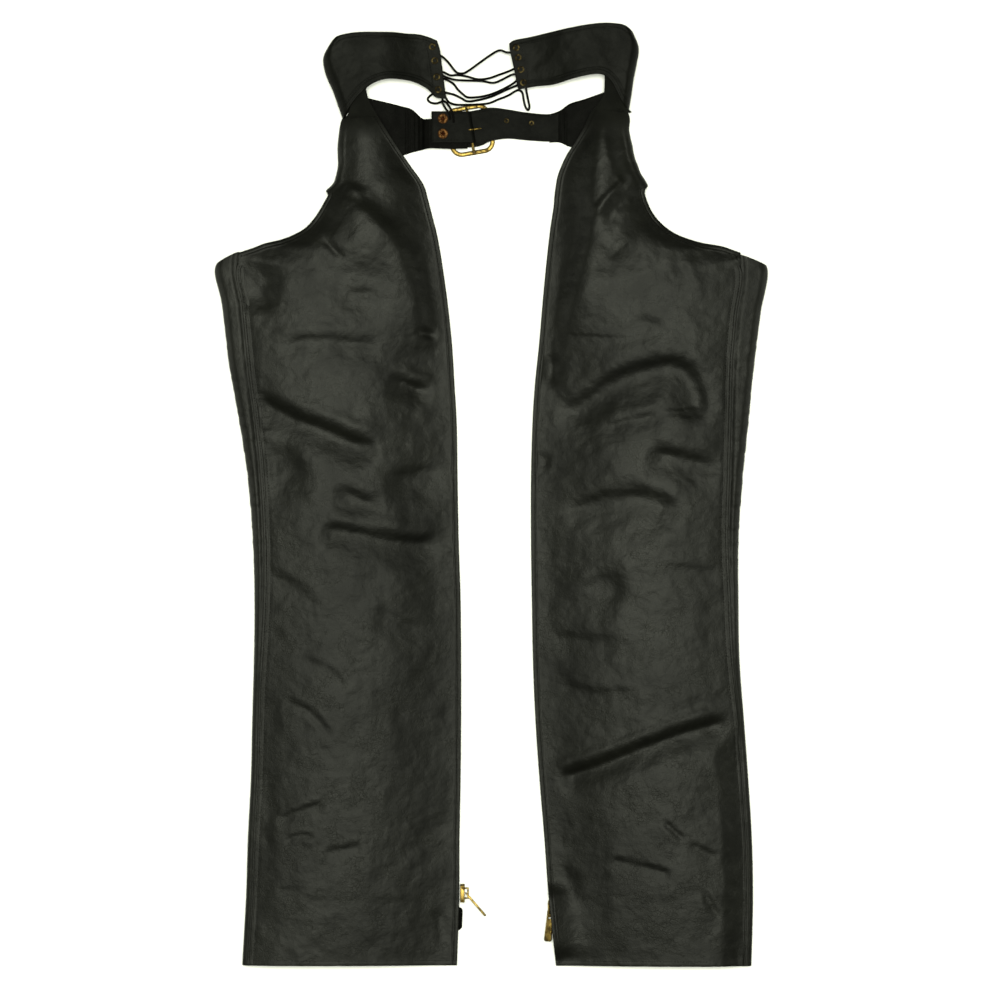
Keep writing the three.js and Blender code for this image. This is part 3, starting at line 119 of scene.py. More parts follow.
# Creases as seen in the photograph: places in its pixels, depth and half width in mm, and the side
# that lies low going along them. A depth below zero is a ridge, a lip is the ridge beside a fold,
# and a swell is how far the raised side reaches. The strengths scale them for the finished leather.
photoPlace = {"centreX": 491.25, "footY": 968.5, "tallness": 944.5, "mmAcross": 1.0992}
creaseStrength = {"deepFrom": 2, "deep": 1.75, "slight": 1.3, "deepWider": 1.3}
seenCreases = {
    "left": [
        {"seen": [(318, 180), (339, 190), (368, 208), (391, 228), (410, 253), (419, 280), (424, 311),
                  (427, 338), (431, 362)],
         "depth": 7.2, "half": 14, "swell": 48, "low": "L"},
        {"seen": [(334, 186), (352, 190), (367, 200)], "depth": -1.8, "half": 6},
        {"seen": [(330, 152), (333, 164), (333, 178)], "depth": 2.0, "half": 6},
        {"seen": [(282, 262), (274, 290), (272, 320)],
         "depth": 3.4, "half": 10, "lip": 0.4, "low": "R"},
        {"seen": [(320, 234), (333, 249), (347, 262)], "depth": 1.5, "half": 5},
        {"seen": [(336, 287), (360, 291), (382, 287)], "depth": 1.1, "half": 6, "lip": 0.4, "low": "R"},
        {"seen": [(272, 343), (315, 337), (350, 339), (384, 342)],
         "depth": 1.6, "half": 7, "lip": 0.4, "low": "R"},
        {"seen": [(389, 372), (410, 382), (438, 390)], "depth": 2.4, "half": 5, "lip": 1.0, "low": "R"},
        {"seen": [(416, 329), (428, 334), (440, 337)], "depth": 1.6, "half": 5, "lip": 0.5},
        {"seen": [(256, 387), (278, 405), (303, 417), (331, 427), (355, 438), (386, 447)],
         "depth": 3.6, "half": 6.5, "lip": 0.9, "low": "R"},
        {"seen": [(276, 424), (290, 448), (304, 472), (320, 498)],
         "depth": 2.8, "half": 11, "lip": 0.4, "low": "R"},
        {"seen": [(376, 480), (410, 470), (446, 463)], "depth": 2.0, "half": 8, "lip": 0.6, "low": "R"},
        {"seen": [(334, 482), (360, 495), (388, 506)], "depth": 2.0, "half": 6, "lip": 0.6, "low": "R"},
        {"seen": [(318, 523), (350, 528), (404, 538), (442, 538)],
         "depth": 2.3, "half": 6, "lip": 0.9, "low": "R"},
        {"seen": [(262, 572), (290, 580), (322, 604)], "depth": 0.8, "half": 6, "lip": 0.3, "low": "R"},
        {"seen": [(380, 600), (402, 620), (432, 628)], "depth": 0.9, "half": 6, "lip": 0.4, "low": "R"},
        {"seen": [(300, 655), (330, 668), (350, 690)], "depth": 0.7, "half": 4, "lip": 0.3, "low": "R"},
        {"seen": [(285, 700), (310, 712), (333, 740)], "depth": 0.7, "half": 4, "lip": 0.3},
        {"seen": [(390, 690), (400, 730), (396, 770)], "depth": 1.0, "half": 10, "low": "L"},
        {"seen": [(270, 765), (268, 815), (271, 866)], "depth": 1.7, "half": 9, "low": "R"},
        {"seen": [(275, 818), (300, 808), (326, 800)],
         "depth": 1.0, "half": 3.4, "lip": 0.4, "low": "R"},
        {"seen": [(322, 850), (344, 846), (364, 842)],
         "depth": 1.0, "half": 3.4, "lip": 0.4, "low": "R"},
        {"seen": [(284, 842), (300, 835), (318, 838)], "depth": 0.7, "half": 3, "lip": 0.3},
        {"seen": [(430, 905), (437, 930), (440, 956)], "depth": 1.2, "half": 6, "low": "L"},
        {"seen": [(258, 900), (256, 930), (255, 956)], "depth": 1.0, "half": 5, "low": "R"},
    ],
    "right": [
        {"seen": [(600, 92), (597, 120), (591, 148), (587, 190), (587, 226), (577, 264), (569, 300),
                  (562, 336), (567, 384)],
         "depth": 8.8, "half": 15, "swell": 50, "low": "R"},
        {"seen": [(641, 165), (624, 182), (606, 201), (594, 220)], "depth": -1.7, "half": 5},
        {"seen": [(632, 192), (614, 212), (602, 240)], "depth": 1.8, "half": 8},
        {"seen": [(543, 345), (556, 366), (549, 398)], "depth": 2.6, "half": 7, "lip": 0.6, "low": "R"},
        {"seen": [(550, 407), (578, 400), (609, 378), (646, 364), (678, 361), (695, 375), (705, 406),
                  (703, 430)],
         "depth": 3.8, "half": 9, "lip": 0.6, "low": "R"},
        {"seen": [(597, 428), (630, 418), (668, 411)], "depth": 1.8, "half": 6, "lip": 0.6, "low": "R"},
        {"seen": [(644, 446), (678, 453), (727, 467)], "depth": 2.6, "half": 7, "lip": 0.7, "low": "R"},
        {"seen": [(534, 452), (543, 456), (553, 458)], "depth": 1.8, "half": 5, "lip": 0.4, "low": "R"},
        {"seen": [(556, 511), (590, 499), (634, 491), (664, 497), (690, 513)],
         "depth": 2.8, "half": 9, "lip": 0.5, "low": "R"},
        {"seen": [(594, 562), (612, 580), (634, 594)],
         "depth": 2.0, "half": 10, "lip": 0.3, "low": "R"},
        {"seen": [(547, 632), (585, 637), (622, 635)], "depth": 1.4, "half": 7, "lip": 0.5, "low": "R"},
        {"seen": [(655, 560), (690, 566), (722, 562)], "depth": 0.9, "half": 6, "lip": 0.4, "low": "R"},
        {"seen": [(560, 680), (590, 690), (640, 688)], "depth": 0.7, "half": 5, "lip": 0.3, "low": "R"},
        {"seen": [(610, 262), (620, 247), (634, 233)], "depth": -1.0, "half": 6},
        {"seen": [(648, 244), (655, 262), (662, 282)], "depth": -0.8, "half": 6},
        {"seen": [(664, 252), (671, 274), (680, 296)], "depth": -0.8, "half": 6},
        {"seen": [(682, 252), (692, 273), (702, 298)], "depth": -1.0, "half": 6},
        {"seen": [(629, 311), (652, 322), (680, 334)], "depth": 1.3, "half": 8, "lip": 0.4, "low": "R"},
        {"seen": [(555, 776), (585, 766), (632, 748), (679, 730), (740, 713)],
         "depth": 3.4, "half": 5, "lip": 1.4, "low": "R"},
        {"seen": [(608, 856), (640, 863), (674, 872)],
         "depth": 1.1, "half": 3.4, "lip": 0.4, "low": "R"},
        {"seen": [(661, 818), (673, 830), (686, 841)], "depth": 1.0, "half": 3.2, "lip": 0.4},
        {"seen": [(690, 839), (704, 848), (721, 856)],
         "depth": 1.0, "half": 3.2, "lip": 0.4, "low": "R"},
        {"seen": [(702, 887), (710, 904), (721, 921)], "depth": 0.9, "half": 4, "lip": 0.4},
        {"seen": [(561, 850), (574, 880), (580, 912)], "depth": 1.5, "half": 10, "low": "R"},
    ],
}


def creaseFrom(side, seen):
    points = [(abs(x - photoPlace["centreX"]) * photoPlace["mmAcross"] / size["halfWidth"],
               (photoPlace["footY"] - y) / photoPlace["tallness"]) for x, y in seen["seen"]]
    deep = abs(seen["depth"]) >= creaseStrength["deepFrom"] and "swell" not in seen
    mirrored = -1 if side == "left" else 1
    lowSide = {"L": mirrored, "R": -mirrored, None: 0}[seen.get("low")]
    return {"points": points, "depth": seen["depth"] * creaseStrength["deep" if deep else "slight"],
            "half": seen["half"] * (creaseStrength["deepWider"] if deep else 1),
            "lip": seen.get("lip", 0), "swell": seen.get("swell", 0), "low": lowSide}


creases = {side: [creaseFrom(side, seen) for seen in rows] for side, rows in seenCreases.items()}

# Part of each leg with a lower shoulder at the outer edge: from, to as shares, and depth in mm
shoulders = {"left": (0.0, 0.32, 1.6), "right": (0.0, 0.275, 5.2)}

yokeEdges = {
    "left": {
        "lower": [(0.162, 0.9206), (0.201, 0.9217), (0.230, 0.9301), (0.277, 0.9375), (0.332, 0.9407),
                  (0.386, 0.9407), (0.434, 0.9354), (0.470, 0.9270), (0.507, 0.9142), (0.538, 0.8994)],
        "upper": [(0.197, 0.9820), (0.223, 0.9852), (0.259, 0.9883), (0.314, 0.9894), (0.361, 0.9905),
                  (0.412, 0.9905), (0.470, 0.9905), (0.514, 0.9894), (0.557, 0.9862), (0.579, 0.9810)],
        "lace": [(0.162, 0.9206), (0.168, 0.9301), (0.173, 0.9420), (0.180, 0.9577), (0.187, 0.9725),
                 (0.197, 0.9820)],
        "hip": [(0.538, 0.8994), (0.555, 0.9132), (0.573, 0.9280), (0.602, 0.9476), (0.609, 0.9640),
                (0.579, 0.9810)],
    },
    "right": {
        "lower": [(0.098, 0.9301), (0.160, 0.9333), (0.230, 0.9354), (0.290, 0.9407), (0.350, 0.9449),
                  (0.395, 0.9460), (0.421, 0.9428), (0.440, 0.9365), (0.468, 0.9206), (0.497, 0.9068)],
        "upper": [(0.065, 0.9788), (0.080, 0.9820), (0.141, 0.9857), (0.214, 0.9905), (0.280, 0.9947),
                  (0.340, 0.9979), (0.397, 1.0), (0.440, 1.0), (0.483, 0.9979), (0.512, 0.9915)],
        "lace": [(0.098, 0.9301), (0.092, 0.9375), (0.084, 0.9502), (0.075, 0.9619), (0.067, 0.9725),
                 (0.065, 0.9788)],
        "hip": [(0.497, 0.9068), (0.506, 0.9217), (0.515, 0.9396), (0.527, 0.9576), (0.534, 0.9746),
                (0.512, 0.9915)],
    },
}
eyeletPlaces = [0.2, 0.42, 0.64, 0.86]

# Belt columns: place across, lower and upper edge, and rise from the floor. The left base runs
# further under the billet than the model's, and the tongue is deeper beside the buckle.
beltColumns = {
    "left": np.array([
        [-0.467, 0.8645, 0.9235, 0], [-0.387, 0.862, 0.918, 0], [-0.332, 0.861, 0.914, 0],
        [-0.288, 0.8645, 0.910, 0.08], [-0.252, 0.867, 0.9005, 0.4], [-0.220, 0.8685, 0.8995, 1],
        [-0.150, 0.8678, 0.8990, 1], [-0.086, 0.8682, 0.8985, 1],
    ]),
    "right": np.array([
        [0.4255, 0.8675, 0.930, 0], [0.345, 0.867, 0.9217, 0], [0.287, 0.8705, 0.9164, 0],
        [0.250, 0.875, 0.909, 0], [0.212, 0.875, 0.905, 0],
    ]),
    "tongue": np.array([
        [0.248, 0.8765, 0.9065, 0], [0.200, 0.8760, 0.9050, 0.1], [0.123, 0.8775, 0.9070, 0.6],
        [0.060, 0.8790, 0.9100, 1], [0.000, 0.8765, 0.9120, 1], [-0.050, 0.8706, 0.9095, 1],
        [-0.130, 0.8705, 0.9050, 1], [-0.190, 0.8800, 0.9010, 1],
    ]),
}
billetSpan = {"out": 0.218, "low": 0.874, "high": 0.9075}
rivetPlaces = [(-0.176, 0.8997), (-0.176, 0.8837)]
beltEyeletPlaces = [(0.056, 0.898, 0.66), (0.147, 0.8955, 0.3)]
zips = {
    "left": {"top": 0.69, "tapeEnd": 0.038, "slider": 0.0794, "bulgeTop": 0.066, "bulge": 6.4, "room": 0},
    "right": {"top": 0.69, "tapeEnd": 0.082, "slider": 0.0635, "bulgeTop": 0, "bulge": 0, "room": 1},
}

def place(across, up):
    return across * size["halfWidth"], (up - 0.5) * size["length"]


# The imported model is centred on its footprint: a rivet's place gives how far it was moved
mm = 0.001
rivetBox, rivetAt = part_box("rivet_1"), place(*rivetPlaces[0])
rivetMiddle = [(rivetBox[0][axis] + rivetBox[1][axis]) / 2 / mm for axis in (0, 1)]
shift = np.array([rivetMiddle[0] - rivetAt[0], rivetMiddle[1] - rivetAt[1], 0.0])


def toFrame(points):
    return (np.asarray(points, float) + shift) * mm


def smooth(t):
    k = np.clip(t, 0, 1)
    return k * k * (3 - 2 * k)


def mix(a, b, t):
    return a + (b - a) * t


def hump(t):
    return np.exp(-np.square(t))


def signOf(side):
    return -1 if side == "left" else 1


def readTable(table, t):
    return np.interp(t, [row[0] for row in table], [row[1] for row in table])


def rowValue(table, column, k):
    # Smooth value of one column between the rows of a table
    values = table[:, column]
    last = len(values) - 1
    i = np.clip(np.floor(k).astype(int), 0, last - 1)
    t = k - i
    a, b, c, d = values[np.maximum(i - 1, 0)], values[i], values[i + 1], values[np.minimum(i + 2, last)]
    bend, twist = 2 * a - 5 * b + 4 * c - d, 3 * b - 3 * c + d - a
    return 0.5 * (2 * b + (c - a) * t + bend * t ** 2 + twist * t ** 3)


def alongCurve(points, t):
    # Place on the smooth curve through some points, in any number of dimensions
    p = np.asarray(points, float)
    last = len(p) - 1
    p = np.vstack([2 * p[0] - p[1], p, 2 * p[-1] - p[-2]])
    at = np.clip(np.asarray(t, float), 0, 1) * last
    i = np.minimum(np.floor(at).astype(int), last - 1)
    w = (at - i)[:, None]
    a, b, c, d = p[i], p[i + 1], p[i + 2], p[i + 3]
    e, f, g = (np.maximum(np.sqrt(np.linalg.norm(q - r, axis=1)), 0.01)[:, None]
               for q, r in ((b, a), (c, b), (d, c)))
    m = ((b - a) / e - (c - a) / (e + f) + (c - b) / f) * f
    n = ((c - b) / f - (d - b) / (f + g) + (d - c) / g) * f
    return b + m * w + (-3 * b + 3 * c - 2 * m - n) * w ** 2 + (2 * b - 2 * c + m + n) * w ** 3


def edgeCurve(rows, t):
    return alongCurve([place(*row) for row in rows], t)


edgeSamples = np.linspace(0, 1, 240)


def edgeAt(rows, y):
    p = edgeCurve(rows, edgeSamples)
    return np.interp(y, p[:, 1], p[:, 0])


netSize = 128


def noiseField(x, y, cell, seed):
    # Smooth unevenness: random heights on a coarse net, rounded between
    net = np.random.default_rng(seed).uniform(-1, 1, (netSize, netSize))
    u, v = (np.asarray(at) / cell + netSize // 2 for at in (x, y))
    i, j = np.floor(u).astype(int), np.floor(v).astype(int)
    s, t = smooth(u - i), smooth(v - j)
    i, j = i % (netSize - 1), j % (netSize - 1)
    return mix(mix(net[i, j], net[i + 1, j], s), mix(net[i, j + 1], net[i + 1, j + 1], s), t)


def lineDistance(x, y, line):
    # Distance to a line of points, the side it lies on and the share of the way along it
    best = np.full(x.shape, 1e9)
    side = np.zeros(x.shape)
    along = np.zeros(x.shape)
    steps = len(line) - 1
    for i in range(steps):
        (ax, ay), (bx, by) = line[i], line[i + 1]
        dx, dy = bx - ax, by - ay
        t = np.clip(((x - ax) * dx + (y - ay) * dy) / (dx * dx + dy * dy + 1e-9), 0, 1)
        away = np.hypot(x - ax - t * dx, y - ay - t * dy)
        nearer = away < best
        best = np.where(nearer, away, best)
        side = np.where(nearer, np.sign(dx * (y - ay) - dy * (x - ax)), side)
        along = np.where(nearer, (i + t) / steps, along)
    return best, side, along


def creaseHeight(side, x, y):
    # Valleys, folds with one low side, and swells that rise steeply from a line and die away
    height = np.zeros(x.shape)
    for crease in creases[side]:
        half, low, swell = crease["half"], crease["low"], crease["swell"]
        line = edgeCurve(crease["points"], np.linspace(0, 1, 16))
        reach = max(half * 9, 2.4 * swell)
        near = (x > line[:, 0].min() - reach) & (x < line[:, 0].max() + reach)
        near &= (y > line[:, 1].min() - reach) & (y < line[:, 1].max() + reach)
        if not near.any():
            continue
        away, turned, along = lineDistance(x[near], y[near], line)
        length = np.linalg.norm(np.diff(line, axis=0), axis=1).sum()
        taper = np.clip(3.4 * half / length, 0.14, 0.42)
        ends = smooth(along / taper) * smooth((1 - along) / taper)
        s = away * turned * low
        rise = 0.5 + 0.5 * np.tanh(1.6 * s / half)
        if swell:
            height[near] += smooth(along / 0.3) * smooth((1 - along) / 0.3) * crease["depth"] * (
                (1 - rise) * np.exp(-(np.maximum(-s, 0) / swell) ** 2))
            continue
        ends *= np.exp(-(away / half / 5) ** 4)
        dip = rise * np.exp(-(np.maximum(s, 0) / half / 3.6) ** 2) if low else hump(away / half)
        ridge = hump((s + 1.5 * half) / half) if low else hump((away - 1.9 * half) / half)
        height[near] += ends * (crease["lip"] * ridge - crease["depth"] * dip)
    return height


def shoulderDrop(sec, d, y):
    # Softer, lower shoulder where the leather rolls down to the outer edge
    low, high, deep = shoulders[sec["side"]]
    up = y / size["length"] + 0.5
    near, fold = sec["near"][:, None], sec["fold"][:, None]
    a = np.clip((d - near) / fold, 0, math.pi / 2)
    share = np.where(d < near, smooth((d - near + 26) / 26), np.cos(a) ** 2)
    return -deep * share * smooth((up - low) / 0.03 + 1) * smooth((high - up) / 0.06)


def yokeHeight(side, x, y):
    edges = yokeEdges[side]
    lace = edgeAt(edges["lace"], y) + size["laceBand"]
    hip = edgeAt(edges["hip"], y) - size["yokeFold"]
    s = np.clip((x - lace) / (hip - lace), 0, 1)
    swell = 0.14 * size["pile"] * np.sin(math.pi * s) ** 2
    return mix(size["laceEdgeHeight"], 2 * size["yokeFold"] + size["wall"] / 2, smooth(s)) + swell


def legSection(side, k):
    rows = legRows[side]
    out, inn = (rowValue(rows, rowColumn[c], k) * size["halfWidth"] for c in ("out", "inn"))
    outY, innY = ((rowValue(rows, rowColumn[c], k) - 0.5) * size["length"] for c in ("outUp", "innUp"))
    tube = 1 - smooth((k - lastTubeRow) / 0.4)
    hip = smooth((k - firstHipRow + 0.7) / 0.9) * (1 - smooth((k - lastHipRow - 1.1) / 0.6))
    fold = mix(size["legFold"], size["hipFold"], smooth((k - lastTubeRow - 1) / 3))
    tangent = out - fold * np.maximum(tube, hip)
    return {"side": side, "k": k, "out": out, "inn": inn, "outY": outY, "innY": innY, "tube": tube,
            "hip": hip, "fold": fold, "tangent": tangent, "near": tangent - inn,
            "up": outY / size["length"] + 0.5}


def zipLift(side, y):
    away = (y + size["zipRoomShift"] - (zips[side]["slider"] - 0.5) * size["length"]) / size["zipRoomLength"]
    return zips[side]["room"] * size["zipRoom"] * np.exp(-away ** 6)


def seamDistance(sec):
    inset = readTable(seamInset[sec["side"]], sec["up"]) * size["halfWidth"]
    around = sec["near"] + sec["fold"] * np.arcsin(np.clip(1 - inset / sec["fold"], -1, 1))
    return np.where(inset >= sec["fold"], sec["near"] - (inset - sec["fold"]), around)


def legSurface(sec, d):
    # Middle of the leg's leather at distances d round each section, from the zip edge
    side = sec["side"]
    sec = {name: value[:, None] if isinstance(value, np.ndarray) else value for name, value in sec.items()}
    wall = size["wall"]
    s = np.clip(d / sec["near"], 0, 1)
    x, y = mix(sec["inn"], sec["tangent"], s), mix(sec["innY"], sec["outY"], s)
    edge = zipEdge + zipLift(side, y) * hump(d / 22)
    crown = readTable(crowns, y / size["length"] + 0.5) * size["pile"]
    crown = crown * np.sin(math.pi * s) ** mix(1.7, 0.8, smooth(s / 0.5)) * (1 - 0.8 * s ** 8)
    z = mix(edge, 2 * sec["fold"] + wall / 2, smooth(s)) + crown
    under = np.clip((sec["k"] - lastHipRow + 3.6) / 5.8, 0, 1)
    under = mix(under, smooth(under), 0.5) * (1 - sec["hip"] * smooth((s - 0.5) / 0.5))
    z = mix(z, yokeHeight(side, x, y) - size["lapRise"], under)
    turn = math.pi * sec["fold"]
    a = np.clip((d - sec["near"]) / sec["fold"], 0, math.pi)
    back = np.maximum(d - sec["near"] - turn, 0)
    onRoll = d > sec["near"]
    x = np.where(onRoll, sec["tangent"] + sec["fold"] * np.sin(a) - back, x)
    y = np.where(onRoll, mix(sec["outY"], sec["innY"], back / np.maximum(sec["tangent"] - sec["inn"], 1)), y)
    z = np.where(onRoll, sec["fold"] + wall / 2 + sec["fold"] * np.cos(a), z)
    return np.stack([signOf(side) * x, y, z], -1)


def surfaceNormals(p, flip):
    rows = np.gradient(p, axis=0)
    columns = np.gradient(p, axis=1)
    n = np.cross(columns, rows) * (-1 if flip else 1)
    return n / np.maximum(np.linalg.norm(n, axis=-1, keepdims=True), 1e-9)


def edgeRound(away, reach=1.4):
    # Share of the wall's thickness near a rounded edge
    k = 1 - np.clip(away / reach, 0, 1)
    return 0.4 + 0.6 * np.sqrt(np.maximum(1 - k * k, 0))


def addObject(name, data):
    made = bpy.data.objects.new(name, data)
    bpy.context.scene.collection.objects.link(made)
    return made


def makeMesh(name, points, faces):
    mesh = bpy.data.meshes.new(name)
    mesh.from_pydata(toFrame(points).tolist(), [], faces)
    mesh.update()
    mesh.shade_smooth()
    return addObject(name, mesh)


def surfaceTree(piece):
    # The finished surface, for finding heights on it
    mesh = piece.data
    return BVHTree.FromPolygons([v.co for v in mesh.vertices], [p.vertices for p in mesh.polygons])


def strideOf(count, step):
    return sorted(set(range(0, count, step)) | {count - 1})


def gridShell(name, middle, wallTop, wallUnder, detail, flip, step=3):
    # Closed leather shell: a fine face, a plainer underside and the rim between them
    rows, columns = middle.shape[:2]
    normal = surfaceNormals(middle, flip)
    top = middle + normal * (wallTop + detail)[..., None]
    iUnder, jUnder = strideOf(rows, step), strideOf(columns, step)
    underAll = middle - normal * wallUnder[..., None]
    under = underAll[np.ix_(iUnder, jUnder)]
    points = np.vstack([top.reshape(-1, 3), under.reshape(-1, 3)])
    a = (np.arange(rows - 1)[:, None] * columns + np.arange(columns - 1)).ravel()
    quads = np.stack([a, a + 1, a + columns + 1, a + columns], 1)
    if flip:
        quads = quads[:, ::-1]
    faces = quads.tolist()
    first, wide = rows * columns, len(jUnder)
    b = (first + np.arange(len(iUnder) - 1)[:, None] * wide + np.arange(wide - 1)).ravel()
    quads = np.stack([b, b + wide, b + wide + 1, b + 1], 1)
    if flip:
        quads = quads[:, ::-1]
    faces += quads.tolist()
    rims = [
        [([(0, j) for j in range(jUnder[n], jUnder[n + 1] + 1)], [(0, n + 1), (0, n)], False)
         for n in range(wide - 1)],
        [([(rows - 1, j) for j in range(jUnder[n], jUnder[n + 1] + 1)],
          [(len(iUnder) - 1, n + 1), (len(iUnder) - 1, n)], True) for n in range(wide - 1)],
        [([(i, 0) for i in range(iUnder[n], iUnder[n + 1] + 1)], [(n + 1, 0), (n, 0)], True)
         for n in range(len(iUnder) - 1)],
        [([(i, columns - 1) for i in range(iUnder[n], iUnder[n + 1] + 1)],
          [(n + 1, wide - 1), (n, wide - 1)], False) for n in range(len(iUnder) - 1)],
    ]
    for rim in rims:
        for onTop, onUnder, turned in rim:
            loop = [i * columns + j for i, j in onTop] + [first + i * wide + j for i, j in onUnder]
            if turned == flip:
                loop.reverse()
            faces.append(loop)
    made = makeMesh(name, points, faces)
    made.data.set_sharp_from_angle(angle=math.radians(55))
    return made, top


def rideAs(piece, nodes, body="chaps"):
    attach(piece, body)
    if nodes:
        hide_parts(*nodes)
    return piece


def wear(piece, material):
    piece.data.materials.clear()
    piece.data.materials.append(material)
    return piece


# Camera straight above, at the photograph's scale
view = {"centre": (0.00931, -0.00556), "span": 1.0996, "height": 6.0, "plane": 0.014, "sensor": 36}
camera = addObject("camera", bpy.data.cameras.new("camera"))
camera.location = (*view["centre"], view["height"])
camera.data.sensor_width = view["sensor"]
camera.data.lens = view["sensor"] * (view["height"] - view["plane"]) / view["span"]
camera.data.clip_end = 50
bpy.context.scene.camera = camera

# The lace: across and up as shares, and height in mm
laceRoute = [
    (-0.136, 0.8953, 16.6), (-0.140, 0.9037, 16.6), (-0.150, 0.9110, 16.4), (-0.172, 0.9182, 10.6),
    (-0.199, 0.9163, 6.6), (-0.221, 0.9174, 4.2), (-0.232, 0.9208, 3.6), (-0.225, 0.9240, 4.4),
    (-0.205, 0.9275, 6.6), (-0.183, 0.9291, 7.6), (-0.163, 0.9275, 7.2), (-0.137, 0.9257, 6.2),
    (-0.111, 0.9222, 5.2), (-0.088, 0.9187, 4.6), (-0.045, 0.9201, 4.6), (0.003, 0.9239, 5.2),
    (0.053, 0.9305, 6.2), (0.094, 0.9354, 7.2), (0.116, 0.9391, 7.6), (0.121, 0.9425, 8.2),
    (0.108, 0.9445, 9.6), (0.086, 0.9385, 10.2), (0.050, 0.9322, 9.6), (0.003, 0.9262, 8.4),
    (-0.045, 0.9230, 7.8), (-0.088, 0.9228, 8.4), (-0.102, 0.9255, 8.8), (-0.121, 0.9305, 9.2),
    (-0.137, 0.9365, 9.4), (-0.165, 0.9415, 9.6), (-0.186, 0.9440, 9.0), (-0.192, 0.9475, 8.0),
    (-0.178, 0.9495, 7.0), (-0.148, 0.9460, 6.2), (-0.125, 0.9464, 5.6), (-0.090, 0.9450, 5.0),
    (-0.048, 0.9419, 5.0), (-0.008, 0.9430, 5.6), (0.025, 0.9463, 6.2), (0.076, 0.9519, 7.2),
    (0.103, 0.9563, 8.2), (0.112, 0.9620, 10.6), (0.100, 0.9672, 12.6), (0.078, 0.9696, 12.6),
    (0.057, 0.9698, 12.4), (0.030, 0.9722, 10.2), (-0.008, 0.9662, 10), (-0.045, 0.9586, 9.8),
    (-0.085, 0.9503, 9.8), (-0.103, 0.9478, 10), (-0.125, 0.9487, 10.4), (-0.161, 0.9609, 10.8),
    (-0.185, 0.9662, 12), (-0.205, 0.9640, 12.4), (-0.212, 0.9580, 12.4), (-0.203, 0.9505, 12.4),
    (-0.180, 0.9460, 12), (-0.139, 0.9413, 11.2), (-0.092, 0.9404, 9.4), (-0.034, 0.9398, 8.4),
    (0.010, 0.9380, 8.4), (0.040, 0.9414, 9.2), (0.083, 0.9468, 10.8), (0.110, 0.9440, 11.8),
    (0.122, 0.9380, 12.2), (0.128, 0.9290, 11.6), (0.134, 0.9200, 9.8), (0.139, 0.9121, 8.6),
    (0.134, 0.9092, 8.2), (0.125, 0.9122, 8.2), (0.118, 0.9200, 8.2), (0.112, 0.9280, 8),
    (0.098, 0.9303, 7), (0.061, 0.9246, 6.2), (0.025, 0.9205, 5.4), (-0.008, 0.9166, 5.6),
    (-0.055, 0.9150, 7.4), (-0.103, 0.9146, 8.4), (-0.137, 0.9152, 8.8), (-0.156, 0.9178, 10.6),
    (-0.172, 0.9240, 13.5), (-0.178, 0.9175, 13.6), (-0.168, 0.9110, 16.6), (-0.153, 0.9045, 16.6),
    (-0.149, 0.8985, 16.6),
]
laceLine = [(*place(across, up), z) for across, up, z in laceRoute]
lacePath = toFrame(alongCurve(laceLine, np.linspace(0, 1, 8 * (len(laceLine) - 1) + 1)))
laceCurve = bpy.data.curves.new("laceLine", "CURVE")
laceCurve.dimensions = "3D"
laceCurve.bevel_depth = size["laceThickness"] / 2 * mm
laceCurve.bevel_resolution = 3
laceCurve.use_fill_caps = True
spline = laceCurve.splines.new("POLY")
spline.points.add(len(lacePath) - 1)
spline.points.foreach_set("co", np.column_stack([lacePath, np.ones(len(lacePath))]).ravel())
laceLineObject = addObject("laceLine", laceCurve)
graph = bpy.context.evaluated_depsgraph_get()
laceMesh = bpy.data.meshes.new_from_object(laceLineObject.evaluated_get(graph), depsgraph=graph)
bpy.data.objects.remove(laceLineObject)
b = bmesh.new()
b.from_mesh(laceMesh)
bmesh.ops.remove_doubles(b, verts=b.verts, dist=1e-7)
b.to_mesh(laceMesh)
b.free()
laceMesh.shade_smooth()
lace = addObject("backLace", laceMesh)
laceExit = toFrame([(*place(-0.172, 0.924), 13.5)])[0]
rideAs(lace, ["back_lace"])


# Materials
class Wire:
    # One socket's value, so that shader maths reads as plain sums
    def __init__(self, finish, socket):
        self.finish, self.socket = finish, socket

    def maths(self, operation, other=None, turned=False):
        pair = [self] if other is None else [other, self] if turned else [self, other]
        return self.finish.node("ShaderNodeMath", {"operation": operation}, dict(enumerate(pair)))

    def __add__(self, other):
        return self.maths("ADD", other)

    def __sub__(self, other):
        return self.maths("SUBTRACT", other)

    def __rsub__(self, other):
        return self.maths("SUBTRACT", other, turned=True)

    def __mul__(self, other):
        return self.maths("MULTIPLY", other)

    __radd__, __rmul__ = __add__, __mul__


